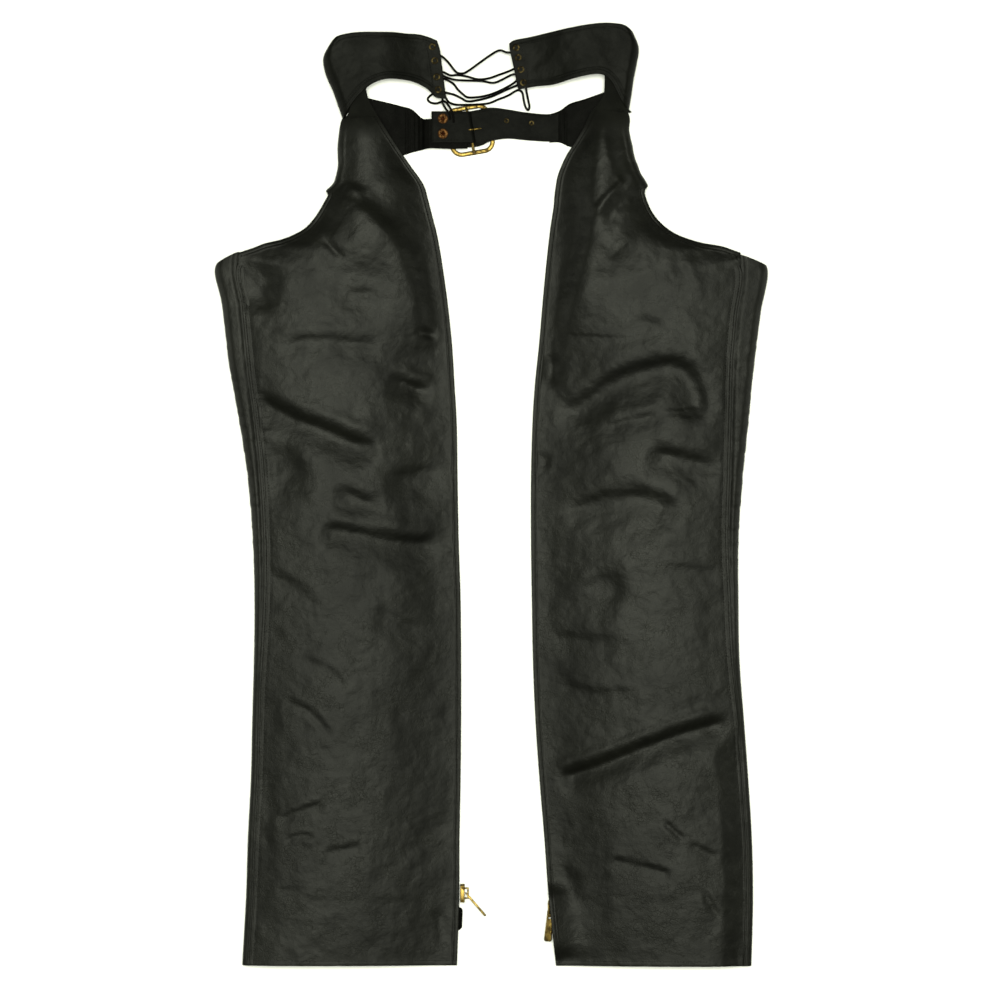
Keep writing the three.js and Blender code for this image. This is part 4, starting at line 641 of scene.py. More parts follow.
class Finish:
    def __init__(self, name):
        self.material = bpy.data.materials.new(name)
        self.material.use_nodes = True
        self.tree = self.material.node_tree
        self.shader = self.tree.nodes["Principled BSDF"]

    def node(self, kind, settings=None, inputs=None, output=0):
        made = self.tree.nodes.new(kind)
        for key, value in (settings or {}).items():
            setattr(made, key, value)
        for key, value in (inputs or {}).items():
            self.feed(made.inputs[key], value)
        return Wire(self, made.outputs[output])

    def feed(self, socket, value):
        if isinstance(value, Wire):
            self.tree.links.new(value.socket, socket)
        else:
            socket.default_value = value

    def place(self, stretch=(1, 1, 1)):
        at = self.node("ShaderNodeTexCoord", output="Object")
        return self.node("ShaderNodeMapping", None, {"Vector": at, "Scale": stretch})

    def noise(self, at, scale, detail=2, roughness=0.5, distortion=0):
        return self.node("ShaderNodeTexNoise", None, {
            "Vector": at, "Scale": scale, "Detail": detail, "Roughness": roughness, "Distortion": distortion})

    def cells(self, at, scale, feature="F1"):
        return self.node("ShaderNodeTexVoronoi", {"feature": feature}, {
            "Vector": at, "Scale": scale, "Randomness": 1})

    def span(self, value, low, high, toLow=0, toHigh=1):
        return self.node("ShaderNodeMapRange", {"interpolation_type": "SMOOTHSTEP"}, {
            "Value": value, "From Min": low, "From Max": high, "To Min": toLow, "To Max": toHigh})

    def blend(self, share, a, b):
        return self.node("ShaderNodeMix", {"data_type": "RGBA"}, {0: share, 6: a, 7: b}, output=2)

    def bump(self, height, distance, strength=1.0, under=None):
        inputs = {"Height": height, "Distance": distance, "Strength": strength}
        if under:
            inputs["Normal"] = under
        return self.node("ShaderNodeBump", None, inputs)

    def wear(self, **sockets):
        for name, value in sockets.items():
            self.feed(self.shader.inputs[socketNames[name]], value)
        return self.material


socketNames = {"colour": "Base Color", "roughness": "Roughness", "metal": "Metallic", "normal": "Normal",
               "gloss": "Specular IOR Level"}

# What all the leathers share. Heights up the model are in metres from its middle.
leatherWear = {"blotches": 4.2, "fineGrain": 1.7, "bendScale": 120, "bend": 0.0042, "fineWrinkles": 2.6,
               "creasedLow": -0.35, "creasedHigh": 0.2, "creasedLeast": 0.3, "streakScale": 190,
               "lumpScale": 62, "dullFrom": (0.388, 0.416)}


def leatherFinish(name, look):
    f = Finish(name)
    at = f.place()
    patches = f.noise(at, look["patchScale"], 5, 0.6)
    blotches = f.noise(at, look["patchScale"] * leatherWear["blotches"], 4, 0.65, 0.6)
    grain = f.cells(at, look["grainScale"])
    fine = f.noise(at, look["grainScale"] * leatherWear["fineGrain"], 3, 0.6)
    waves = f.node("ShaderNodeTexNoise", None, {
        "Vector": at, "Scale": leatherWear["bendScale"], "Detail": 3}, output="Color")
    bend = f.node("ShaderNodeVectorMath", {"operation": "SCALE"}, {0: waves, "Scale": leatherWear["bend"]})
    bent = f.node("ShaderNodeVectorMath", {"operation": "ADD"}, {0: at, 1: bend})
    wrinkles = 1 - f.span(f.cells(bent, look["wrinkleScale"], "DISTANCE_TO_EDGE"), 0.0, 0.11)
    finerScale = look["wrinkleScale"] * leatherWear["fineWrinkles"]
    finer = 1 - f.span(f.cells(bent, finerScale, "DISTANCE_TO_EDGE"), 0.0, 0.16)
    upModel = f.node("ShaderNodeSeparateXYZ", None, {0: at}, output=1)
    lowLegs = f.span(upModel, leatherWear["creasedLow"], leatherWear["creasedHigh"], 1,
                     leatherWear["creasedLeast"])
    creased = (wrinkles * 0.7 + finer * 0.45) * f.span(blotches, 0.42, 0.62) * lowLegs * look["wrinkles"]
    tone = f.span(patches, 0.32, 0.7) * 0.5 + f.span(blotches, 0.36, 0.68) * 0.5
    colour = f.blend(tone, (*look["dark"], 1), (*look["light"], 1))
    streaks = f.noise(f.place((1, 0.3, 1)), leatherWear["streakScale"], 5, 0.75)
    scuffs = f.span(streaks, 0.63, 0.8) * f.span(patches, 0.46, 0.62)
    colour = f.blend(scuffs * look["scuffs"], colour, (*look["scuff"], 1))
    roughness = look["rough"] + 0.05 - tone * 0.09 + f.span(grain, 0.1, 0.75) * 0.02 + creased * 0.06
    roughness = roughness + f.span(upModel, *leatherWear["dullFrom"], 0, look["duller"])
    height = fine * 0.4 - f.span(grain, 0.1, 0.75) * 0.5 - creased * 1.1
    lumps = f.bump(f.noise(at, leatherWear["lumpScale"], 2, 0.5), look["lumps"])
    normal = f.bump(height, look["grainDepth"], 1.0, lumps)
    return f.wear(colour=colour, roughness=roughness, normal=normal, gloss=look["gloss"])


def insideFinish(name, look):
    f = Finish(name)
    at = f.place()
    nap = f.noise(at, 1500, 3, 0.7)
    patches = f.noise(at, 26, 4, 0.6)
    colour = f.blend(f.span(patches, 0.3, 0.7) * 0.7 + nap * 0.3, (*look["dark"], 1), (*look["light"], 1))
    rough = f.span(nap, 0.2, 0.8, look["rough"] - 0.06, look["rough"] + 0.06)
    return f.wear(colour=colour, roughness=rough, normal=f.bump(nap, 0.0004, 0.8), gloss=look["gloss"])


def metalFinish(name, look):
    f = Finish(name)
    at = f.place()
    tarnish = f.span(f.noise(at, look["spotScale"], 4, 0.65), look["spotLow"], look["spotHigh"])
    scratches = f.noise(f.place((1, 6, 1)), 900, 2, 0.6)
    colour = f.blend(tarnish, (*look["bright"], 1), (*look["dull"], 1))
    rough = f.span(tarnish, 0, 1, look["rough"], look["rough"] + 0.28) + scratches * 0.06
    normal = f.bump(scratches * 0.4 + f.noise(at, 300, 3, 0.5) * 0.6, 0.00012)
    return f.wear(colour=colour, roughness=rough, metal=1.0, normal=normal)


def clothFinish(name, look):
    f = Finish(name)
    at = f.place()
    weave = f.node("ShaderNodeTexWave", {"bands_direction": "DIAGONAL"}, {
        "Vector": at, "Scale": look["weave"], "Distortion": 1.2, "Detail": 2})
    fuzz = f.noise(at, 1800, 3, 0.7)
    colour = f.blend(weave * 0.7 + fuzz * 0.3, (*look["dark"], 1), (*look["light"], 1))
    rough = f.span(fuzz, 0.2, 0.8, look["rough"] - 0.08, look["rough"] + 0.05)
    return f.wear(colour=colour, roughness=rough, normal=f.bump(weave + fuzz * 0.4, 0.00025, 0.7), gloss=0.06)


looks = {
    "hide": {"dark": (0.0018, 0.0019, 0.0014), "light": (0.0048, 0.0050, 0.0038),
             "scuff": (0.020, 0.021, 0.016), "rough": 0.43, "gloss": 0.115, "patchScale": 9,
             "grainScale": 850, "wrinkleScale": 210, "wrinkles": 1.0, "grainDepth": 0.00011,
             "lumps": 0.0011, "scuffs": 0.5, "duller": 0.45},
    # Painted shade: the yokes wear a darker, less glossy copy of the leg hide, standing in for the shade
    # where they tilt away from the light
    "shadedYokeHide": {"dark": (0.0016, 0.0017, 0.0012), "light": (0.0036, 0.0038, 0.0029),
                 "scuff": (0.018, 0.019, 0.014), "rough": 0.46, "gloss": 0.046, "patchScale": 12,
                 "grainScale": 850, "wrinkleScale": 230, "wrinkles": 0.5, "grainDepth": 0.0001,
                 "lumps": 0.0012, "scuffs": 0.4, "duller": 0},
    "strap": {"dark": (0.0012, 0.0013, 0.0010), "light": (0.0030, 0.0032, 0.0025),
              "scuff": (0.022, 0.022, 0.017), "rough": 0.50, "gloss": 0.036, "patchScale": 40,
              "grainScale": 900, "wrinkleScale": 420, "wrinkles": 0.8, "grainDepth": 0.0001,
              "lumps": 0.0008, "scuffs": 0.8, "duller": 0},
    "strapInside": {"dark": (0.0008, 0.0008, 0.0006), "light": (0.0020, 0.0020, 0.0016),
                    "scuff": (0.01, 0.01, 0.008), "rough": 0.58, "gloss": 0.04, "patchScale": 30,
                    "grainScale": 900, "wrinkleScale": 300, "wrinkles": 0.6, "grainDepth": 0.0002,
                    "lumps": 0.001, "scuffs": 0.4, "duller": 0},
    "inside": {"dark": (0.0010, 0.0010, 0.0008), "light": (0.0024, 0.0024, 0.0019),
               "rough": 0.86, "gloss": 0.06},
    "lace": {"dark": (0.0005, 0.0004, 0.0004), "light": (0.0026, 0.0021, 0.0019),
             "rough": 0.78, "weave": 900},
    "thread": {"dark": (0.0008, 0.0008, 0.0006), "light": (0.0032, 0.0032, 0.0026),
               "rough": 0.6, "weave": 1500},
    "tape": {"dark": (0.0006, 0.0006, 0.0005), "light": (0.0022, 0.0021, 0.0018),
             "rough": 0.9, "weave": 1300},
    "brass": {"bright": (0.20, 0.135, 0.036), "dull": (0.065, 0.042, 0.013),
              "rough": 0.36, "spotScale": 160, "spotLow": 0.42, "spotHigh": 0.64},
    "darkBrass": {"bright": (0.060, 0.044, 0.017), "dull": (0.014, 0.011, 0.006),
                  "rough": 0.42, "spotScale": 260, "spotLow": 0.36, "spotHigh": 0.6},
    "copper": {"bright": (0.085, 0.040, 0.014), "dull": (0.045, 0.019, 0.007),
               "rough": 0.5, "spotScale": 380, "spotLow": 0.4, "spotHigh": 0.62},
    "redCopper": {"bright": (0.030, 0.008, 0.003), "dull": (0.012, 0.003, 0.002),
                  "rough": 0.55, "spotScale": 500, "spotLow": 0.4, "spotHigh": 0.62},
}
hide = leatherFinish("grainedHide", looks["hide"])
# The yokes' leather is painted shade: a darker, less glossy copy of the leg hide
shadedYokeHide = leatherFinish("shadedYokeHide", looks["shadedYokeHide"])
strapHide = leatherFinish("strapHide", looks["strap"])
strapInside = leatherFinish("strapInside", looks["strapInside"])
inside = insideFinish("fleshSide", looks["inside"])
laceHide = clothFinish("laceHide", looks["lace"])
thread = clothFinish("blackThread", looks["thread"])
tapeCloth = clothFinish("zipTapeCloth", looks["tape"])
brass = metalFinish("wornBrass", looks["brass"])
darkBrass = metalFinish("tarnishedBrass", looks["darkBrass"])
copper = metalFinish("rivetCopper", looks["copper"])
redCopper = metalFinish("rivetCore", looks["redCopper"])
wear(lace, laceHide)
print("materials made")


# Geometry Nodes: stitches and teeth along lines, and fastenings set on points
class Growth:
    def __init__(self, name, numbers):
        self.tree = bpy.data.node_groups.new(name, "GeometryNodeTree")
        face = self.tree.interface
        face.new_socket("Geometry", in_out="OUTPUT", socket_type="NodeSocketGeometry")
        face.new_socket("Geometry", in_out="INPUT", socket_type="NodeSocketGeometry")
        face.new_socket("Finish", in_out="INPUT", socket_type="NodeSocketMaterial")
        for number, kind in numbers.items():
            face.new_socket(number, in_out="INPUT", socket_type=kind)
        self.start = self.tree.nodes.new("NodeGroupInput").outputs
        self.end = self.tree.nodes.new("NodeGroupOutput").inputs

    def node(self, kind, settings=None, inputs=None, output=0):
        made = self.tree.nodes.new(kind)
        for key, value in (settings or {}).items():
            setattr(made, key, value)
        for key, value in (inputs or {}).items():
            if isinstance(value, bpy.types.NodeSocket):
                self.tree.links.new(value, made.inputs[key])
            else:
                made.inputs[key].default_value = value
        return made.outputs[output]

    def close(self, geometry):
        whole = self.node("GeometryNodeRealizeInstances", None, {0: geometry})
        painted = self.node("GeometryNodeSetMaterial", None, {0: whole, "Material": self.start["Finish"]})
        self.tree.links.new(painted, self.end[0])
        return self.tree


def stitchTree():
    g = Growth("stitchesAlongSeams", {"Pitch": "NodeSocketFloat", "Stitch size": "NodeSocketVector"})
    points = g.node("GeometryNodeResampleCurve", {"mode": "LENGTH"}, {
        "Curve": g.start["Geometry"], "Length": g.start["Pitch"]})
    grain = g.node("GeometryNodeMeshUVSphere", None, {"Segments": 6, "Rings": 4, "Radius": 1.0})
    turn = g.node("FunctionNodeAlignRotationToVector", {"axis": "Z"}, {
        "Vector": g.node("GeometryNodeInputTangent")})
    laid = g.node("GeometryNodeInstanceOnPoints", None, {
        "Points": points, "Instance": grain, "Rotation": turn, "Scale": g.start["Stitch size"]})
    return g.close(laid)


def toothTree():
    g = Growth("teethAlongZip", {"Pitch": "NodeSocketFloat", "Tooth size": "NodeSocketVector",
                                 "Stagger": "NodeSocketFloat"})
    points = g.node("GeometryNodeResampleCurve", {"mode": "LENGTH"}, {
        "Curve": g.start["Geometry"], "Length": g.start["Pitch"]})
    index = g.node("GeometryNodeInputIndex")
    odd = g.node("ShaderNodeMath", {"operation": "MODULO"}, {0: index, 1: 2.0})
    offset = g.node("ShaderNodeMath", {"operation": "MULTIPLY"}, {0: odd, 1: g.start["Stagger"]})
    moved = g.node("GeometryNodeSetPosition", None, {
        0: points, "Offset": g.node("ShaderNodeCombineXYZ", None, {0: offset})})
    tooth = g.node("GeometryNodeMeshCube", None, {"Size": (1, 1, 1)})
    laid = g.node("GeometryNodeInstanceOnPoints", None, {
        "Points": moved, "Instance": tooth, "Scale": g.start["Tooth size"]})
    return g.close(laid)


def settingTree():
    g = Growth("fasteningsOnPoints", {"Fastening": "NodeSocketObject"})
    piece = g.node("GeometryNodeObjectInfo", None, {"Object": g.start["Fastening"]}, output="Geometry")
    laid = g.node("GeometryNodeInstanceOnPoints", None, {"Points": g.start["Geometry"], "Instance": piece})
    return g.close(laid)


def grow(source, tree, values, name):
    # Runs a tree on a source object and keeps the result as a plain mesh
    modifier = source.modifiers.new("growth", "NODES")
    modifier.node_group = tree
    sockets = {item.name: item.identifier for item in tree.interface.items_tree if item.in_out == "INPUT"}
    for key, value in values.items():
        modifier[sockets[key]] = value
    graph = bpy.context.evaluated_depsgraph_get()
    mesh = bpy.data.meshes.new_from_object(source.evaluated_get(graph), depsgraph=graph)
    mesh.name = name
    made = addObject(name, mesh)
    bpy.data.objects.remove(source)
    mesh.shade_smooth()
    return made


def lineObject(name, lines):
    # Lines of points in the model's frame, in metres, as one curve object
    curve = bpy.data.curves.new(name, "CURVE")
    curve.dimensions = "3D"
    for line in lines:
        spline = curve.splines.new("POLY")
        spline.points.add(len(line) - 1)
        spline.points.foreach_set("co", np.column_stack([line, np.ones(len(line))]).ravel())
    return addObject(name, curve)


def lathe(name, profile, sides):
    # Ring or cap turned round the upright axis from a closed profile, in mm
    points, faces, count = [], [], len(profile)
    for n in range(sides):
        a = 2 * math.pi * n / sides
        points += [(r * math.cos(a) * mm, r * math.sin(a) * mm, z * mm) for r, z in profile]
    for n in range(sides):
        for m in range(count):
            if profile[m][0] == 0 and profile[(m + 1) % count][0] == 0:
                continue
            a, b = n * count, ((n + 1) % sides) * count
            faces.append((a + m, b + m, b + (m + 1) % count, a + (m + 1) % count))
    mesh = bpy.data.meshes.new(name)
    mesh.from_pydata(points, [], faces)
    b = bmesh.new()
    b.from_mesh(mesh)
    bmesh.ops.remove_doubles(b, verts=b.verts, dist=1e-7)
    bmesh.ops.dissolve_degenerate(b, dist=1e-7, edges=b.edges)
    bmesh.ops.recalc_face_normals(b, faces=b.faces)
    b.to_mesh(mesh)
    b.free()
    return addObject(name, mesh)


def setOnPoints(name, centres, profile, sides, finish):
    piece = lathe(name + "Pattern", profile, sides)
    mesh = bpy.data.meshes.new(name + "Points")
    mesh.from_pydata(toFrame(centres).tolist(), [], [])
    points = addObject(name + "Points", mesh)
    made = grow(points, fasteningTree, {"Fastening": piece, "Finish": finish}, name)
    bpy.data.objects.remove(piece)
    made.data.set_sharp_from_angle(angle=math.radians(40))
    return made


seamTree, zipTree, fasteningTree = stitchTree(), toothTree(), settingTree()
stitch = {"pitch": 0.0031, "size": (0.00034, 0.00034, 0.00115)}


def sew(name, lines):
    values = {"Pitch": stitch["pitch"], "Stitch size": stitch["size"], "Finish": thread}
    return rideAs(grow(lineObject(name + "Line", lines), seamTree, values, name), [])


rayStart = 0.2  # metres above the floor, clear of every piece


def dropLines(tree, lines, lift=0.15):
    # Puts flat lines in mm down on a surface, seen from above
    dropped = []
    for line in lines:
        points = []
        for x, y in line:
            fx, fy, _ = toFrame((x, y, 0))
            hit = tree.ray_cast(Vector((fx, fy, rayStart)), Vector((0, 0, -1)))[0]
            if hit is not None:
                points.append((hit.x, hit.y, hit.z + lift * mm))
        if len(points) > 2:
            dropped.append(np.array(points))
    return dropped


def offsetLine(line, away):
    # Line in mm moved sideways, to the left of its direction
    direction = np.gradient(line, axis=0)
    direction /= np.maximum(np.linalg.norm(direction, axis=1, keepdims=True), 1e-9)
    return line + away * np.stack([-direction[:, 1], direction[:, 0]], 1)


# Leg fronts
legFront = {"rowSteps": 27, "scoopSteps": 18, "topSteps": 8, "columns": 92, "hem": 6.0, "hemRise": 0.5,
            "stitchIn": 4.4, "grooveDepth": 0.45, "unevenness": 0.55, "pucker": 0.35, "bottomHem": 7.0,
            "seamHem": 4.6, "seamStitchIn": 3.0, "seamGroove": 8.2, "lapBulge": 6, "scoopDip": 2.6,
            "flatBand": 24, "detailFrom": 22}


def rowPlaces(last, step, scoopStep=None, topStep=None):
    # Closer rows at the hem, and then even steps from the hem up
    places = [0, 0.004, 0.012, 0.022, 0.036, 0.06, 0.085, 0.108, 0.125]
    k = places[-1]
    while k < last - 1e-6:
        upper = scoopStep if k < firstHipRow else topStep
        steps = step if k < lastTubeRow - 0.4 or scoopStep is None else upper
        k = min(last, k + 1 / steps)
        places.append(k)
    return np.array(places)


def hemDetail(away, width, rise, groove):
    # Turned hem: raised as far as its width, with a sewn groove just inside
    return rise * (1 - smooth((away - width + 0.6) / 1.4)) - groove * hump((away - width + 1.6) / 0.8)


# Outer edge of the lap under each yoke: height share and share of the half width
lapOuter = {"left": [(0.9005, 0.525), (0.9111, 0.514), (0.9217, 0.4996), (0.9323, 0.485)],
            "right": [(0.9079, 0.498), (0.9196, 0.483), (0.9301, 0.465), (0.9407, 0.44)]}


def legFrontPanel(side):
    p = legFront
    last = len(legRows[side]) - 1
    k = rowPlaces(last, p["rowSteps"], p["scoopSteps"], p["topSteps"])
    sec = legSection(side, k)
    wider = np.interp(sec["up"], *np.transpose(lapOuter[side])) * size["halfWidth"]
    spread = np.where(k > lastHipRow, np.maximum(wider - sec["out"], 0), 0) * smooth((k - lastHipRow) / 0.5)
    for name in ("out", "tangent", "near"):
        sec[name] = sec[name] + spread
    sec["outY"] = sec["outY"] + p["lapBulge"] * hump((k - lastHipRow - 0.4) / 0.7)
    sec["outY"] = sec["outY"] - p["scoopDip"] * hump((k - lastTubeRow - 0.5) / 0.4)
    seamX = sec["inn"] + seamDistance(sec) - size["seamGap"] / 4
    seamX = np.where(k > lastTubeRow, np.interp(lastTubeRow, k, seamX), seamX)
    tubeEnd = np.where(k > lastTubeRow, np.minimum(sec["near"], seamX - sec["inn"]), seamX - sec["inn"])
    reach = tubeEnd + sec["hip"] * (math.pi * sec["fold"] + size["hipFlap"])
    edges = np.array([0, 0.25, 0.7, 1.4, 2.4, 3.4, 4.2, 4.8, 5.4, 6.0, 6.8, 8.0, 9.6])
    inner = np.linspace(0, 1, p["columns"])[1:-1]
    share = reach[:, None] / 26
    close = edges[None, :] * np.minimum(1, share)
    first, second = close, reach[:, None] - close[:, ::-1]
    d = np.hstack([first, mix(first[:, -1:], second[:, :1], inner[None, :]), second])
    middle = legSurface(sec, d)
    x, y = np.abs(middle[..., 0]), middle[..., 1]
    onTop = d < sec["near"][:, None]
    flat = smooth((sec["near"][:, None] - d) / p["flatBand"])
    detail = creaseHeight(side, x, y) * flat * smooth(d / p["detailFrom"])
    hidden = smooth((k - lastHipRow + 1) / 1.2)[:, None]
    detail *= 1 - hidden
    rough = noiseField(x, y, 34, 3) + 0.6 * noiseField(x, y, 15, 4) + 0.25 * noiseField(x, y, 7, 5)
    detail += p["unevenness"] * rough * smooth(d / 20) * smooth((reach[:, None] - d) / 20) * (1 - hidden)
    detail += shoulderDrop(sec, d, y)
    middle = middle + surfaceNormals(middle, side == "left") * detail[..., None]
    detail = np.zeros(d.shape)

    # Distances to the hems: zip edge, scoop, bottom
    toZip = d
    ends = middle[:, -1, :2] * [signOf(side), 1]
    scoop = (k > lastTubeRow + 0.45) & (k < firstHipRow - 0.6)
    toScoop = np.full(d.shape, 99.0)
    part = k > lastTubeRow - 1.2
    toScoop[part] = lineDistance(x[part], y[part], ends[scoop])[0]
    toScoop = np.where(onTop | (sec["tube"] < 0.5)[:, None], toScoop, 99)
    bottom = edgeLineY(side, sec, middle)
    toBottom = y - bottom
    toSeam = (tubeEnd[:, None] - d) + 200 * (1 - sec["tube"][:, None])
    visible = 1 - hidden
    for away in (toZip, toScoop):
        detail += hemDetail(away, p["hem"], p["hemRise"], p["grooveDepth"]) * visible
    detail += hemDetail(toBottom, p["bottomHem"], p["hemRise"] * 0.8, p["grooveDepth"] * 0.8)
    detail += hemDetail(toSeam, p["seamHem"], p["hemRise"], p["grooveDepth"] * 0.8)
    detail -= 0.3 * hump((toSeam - p["seamGroove"]) / 0.8) * sec["tube"][:, None]

    # Puckers where the sewing draws the leather in
    for away, low, high, seed in ((toSeam, 0.42, 0.7, 11), (toZip, 0.4, 0.62, 12)):
        draw = hump((away - 10) / 7) * smooth((y / size["length"] + 0.5 - low) / 0.04)
        draw *= smooth((high - y / size["length"] - 0.5) / 0.05)
        beat = noiseField(y, y * 0, 3.4, seed)
        detail += p["pucker"] * draw * beat

    rim = np.minimum.reduce([d, reach[:, None] - d, np.maximum(toBottom, 0) + 0.02])
    rim = np.minimum(rim, np.where(toScoop < 90, toScoop + 0.02, 99))
    wallTop = size["wall"] / 2 * edgeRound(rim)
    made, top = gridShell(f"legFront{side.title()}", middle, wallTop, wallTop, detail, side == "left")
    rideAs(wear(made, hide), [f"leg_front_{side}"])
    return {"piece": made, "top": top, "k": k, "d": d, "tubeEnd": tubeEnd, "scoop": ends[scoop],
            "bottom": middle[0, :, :2]}


def edgeLineY(side, sec, middle):
    # Height of the bottom edge under each point of the panel
    x = np.abs(middle[..., 0])
    low, high = sec["inn"][0], sec["out"][0]
    return mix(sec["innY"][0], sec["outY"][0], np.clip((x - low) / (high - low), 0, 1))


def gridLine(panel, distances, rows):
    # Line on the finished surface at a distance from the zip edge in each row
    points = [[np.interp(distances[i], panel["d"][i], panel["top"][i, :, axis]) for axis in range(3)]
              for i in rows]
    return toFrame(points) + [0, 0, 0.0001]


for side in ("left", "right"):
    panel = legFrontPanel(side)
    rows = range(3, len(panel["k"]))
    zipRow = [i for i in rows if panel["k"][i] < lastHipRow + 0.5]
    seamRow = [i for i in rows if panel["k"][i] < lastTubeRow - 0.02]
    count = len(panel["k"])
    lines = [gridLine(panel, np.full(count, legFront["stitchIn"]), zipRow),
             gridLine(panel, panel["tubeEnd"] - legFront["seamStitchIn"], seamRow),
             gridLine(panel, panel["tubeEnd"] - legFront["seamGroove"], seamRow)]
    sign = signOf(side)
    scoopIn = offsetLine(panel["scoop"], legFront["stitchIn"]) * [sign, 1]
    bottomLine = panel["bottom"][4:-30] + [0, legFront["bottomHem"] - 1.6]
    lines += dropLines(surfaceTree(panel["piece"]), [scoopIn, bottomLine])
    stitches = sew(f"legStitches{side.title()}", lines)
    print("leg front", side, len(panel["piece"].data.polygons), "faces,",
          len(stitches.data.polygons), "in stitches")

# Leg backs: lapped under the front, round the fold and over the floor to the zip
legBack = {"rowSteps": 24, "lap": 9, "lapDrop": 1.9, "rollColumns": 26, "floorColumns": 24,
           "riseAtSeam": 13.5, "riseAtEdge": -2, "pucker": 0.4}
for side in ("left", "right"):
    k = rowPlaces(lastTubeRow, legBack["rowSteps"])
    sec = legSection(side, k)
    seam = seamDistance(sec)
    turned = sec["near"] + math.pi * sec["fold"]
    end = turned + sec["near"] - size["backInset"]
    start = seam - legBack["lap"]
    roll = np.linspace(0, 1, legBack["rollColumns"])
    floor = np.linspace(0, 1, legBack["floorColumns"])[1:]
    d = np.hstack([mix(start[:, None], turned[:, None], roll), mix(turned[:, None], end[:, None], floor)])
    middle = legSurface(sec, d)
    seamX = (sec["inn"] + seam)[:, None]
    onTop = 1 - smooth((d - turned[:, None] + 12) / 12)
    share = np.clip((np.abs(middle[..., 0]) - seamX) / (sec["out"][:, None] - seamX), 0, 1)
    raised = mix(legBack["riseAtSeam"], legBack["riseAtEdge"], share) * onTop
    middle[..., 1] += smooth((k[:, None] - lastTubeRow + 0.6) / 0.6) * raised
    drop = -legBack["lapDrop"] * (1 - smooth((d - seam[:, None] - 0.4) / 4.5))
    onFloor = smooth((d - turned[:, None] + 6) / 8)
    y = middle[..., 1]
    draw = smooth((y / size["length"] + 0.5 - 0.4) / 0.05) * smooth((0.7 - y / size["length"] - 0.5) / 0.05)
    beat = noiseField(y, d * 0.3, 4.2, 21) + 0.7 * noiseField(y, d * 0.5, 9, 22)
    detail = drop + legBack["pucker"] * draw * beat * (1 - onFloor) * smooth((d - seam[:, None]) / 3)
    detail += shoulderDrop(sec, d, y)
    normal = surfaceNormals(middle, side == "left")
    middle = middle + normal * detail[..., None]
    middle[..., 2] = np.maximum(middle[..., 2], size["wall"] / 2)
    toHem = y - edgeLineY(side, sec, middle) + 0.02
    rim = np.minimum(end[:, None] - d, np.minimum(d - start[:, None], toHem))
    wallTop = size["wall"] / 2 * edgeRound(np.maximum(rim, 0))
    made, _ = gridShell(f"legBack{side.title()}", middle, wallTop, wallTop, np.zeros(d.shape), side == "left")
    rideAs(wear(made, hide), [f"leg_back_{side}"])
print("leg backs made")


# Hidden front of the hips: its lower end lies on the leg back, and the rest on the floor
hipLeather = {"setback": 9, "lap": 10, "ahead": 3, "rows": np.linspace(13, 19, 49), "topRow": 19.3,
              "columns": 30}


def hipFront(side):
    p = hipLeather
    k = np.concatenate([[lastTubeRow, lastTubeRow, lastTubeRow + 0.6], p["rows"], [p["topRow"]]])
    level = np.zeros(len(k) - 3)
    ahead = np.concatenate([[-p["lap"], p["ahead"], p["ahead"]], level])
    raised = np.concatenate([[1, 1, 0], level])
    sec = legSection(side, k)
    hipEnd = sec["tangent"] - size["hipFlap"] * sec["hip"] - size["seamGap"]
    outer = np.where(sec["hip"] > 0.5, hipEnd, sec["out"] - p["setback"] * (1 + 2 * sec["tube"]))
    share = np.linspace(0, 1, p["columns"])
    x = mix(sec["inn"][:, None] + size["backInset"], outer[:, None], share)
    t = (x - sec["inn"][:, None]) / (sec["out"] - sec["inn"])[:, None]
    y = mix(sec["innY"][:, None], sec["outY"][:, None], t) + ahead[:, None]
    wall = size["wall"]
    z = mix(wall / 2, wall * 1.5 + size["gap"], raised)[:, None] * np.ones_like(x)
    middle = np.stack([signOf(side) * x, y, z], -1)
    walls = np.full(x.shape, wall / 2)
    made, _ = gridShell(f"hipFront{side.title()}", middle, walls, walls, np.zeros(x.shape), side == "left", 1)
    return rideAs(wear(made, inside), [f"hip_front_{side}"])


for side in ("left", "right"):
    hipFront(side)
print("hip fronts made")

# Yokes
yokeLook = {"rows": 56, "columns": 84, "foldColumns": 20, "hem": 6.2, "laceHem": 15, "rise": 0.45,
            "groove": 0.4, "unevenness": 0.5,
            "stitches": (("lower", 2.2), ("lower", 6.0), ("upper", -4.6), ("lace", -13.4))}


def yokePlan(edges, u, v):
    low, high = edgeCurve(edges["lower"], u), edgeCurve(edges["upper"], u)
    laceSide, hip = edgeCurve(edges["lace"], v), edgeCurve(edges["hip"], v)
    corners = [[edgeCurve(edges[name], [end])[0] for end in (0, 1)] for name in ("lower", "upper")]
    u, v = np.asarray(u)[None, :, None], np.asarray(v)[:, None, None]
    flat = mix(mix(corners[0][0], corners[0][1], u), mix(corners[1][0], corners[1][1], u), v)
    return mix(low[None], high[None], v) + mix(laceSide[:, None], hip[:, None], u) - flat


def eyeletCentres(side):
    p = edgeCurve(yokeEdges[side]["lace"], eyeletPlaces) + [size["eyeletInset"], 0]
    return np.column_stack([signOf(side) * p[:, 0], p[:, 1], yokeHeight(side, p[:, 0], p[:, 1])])


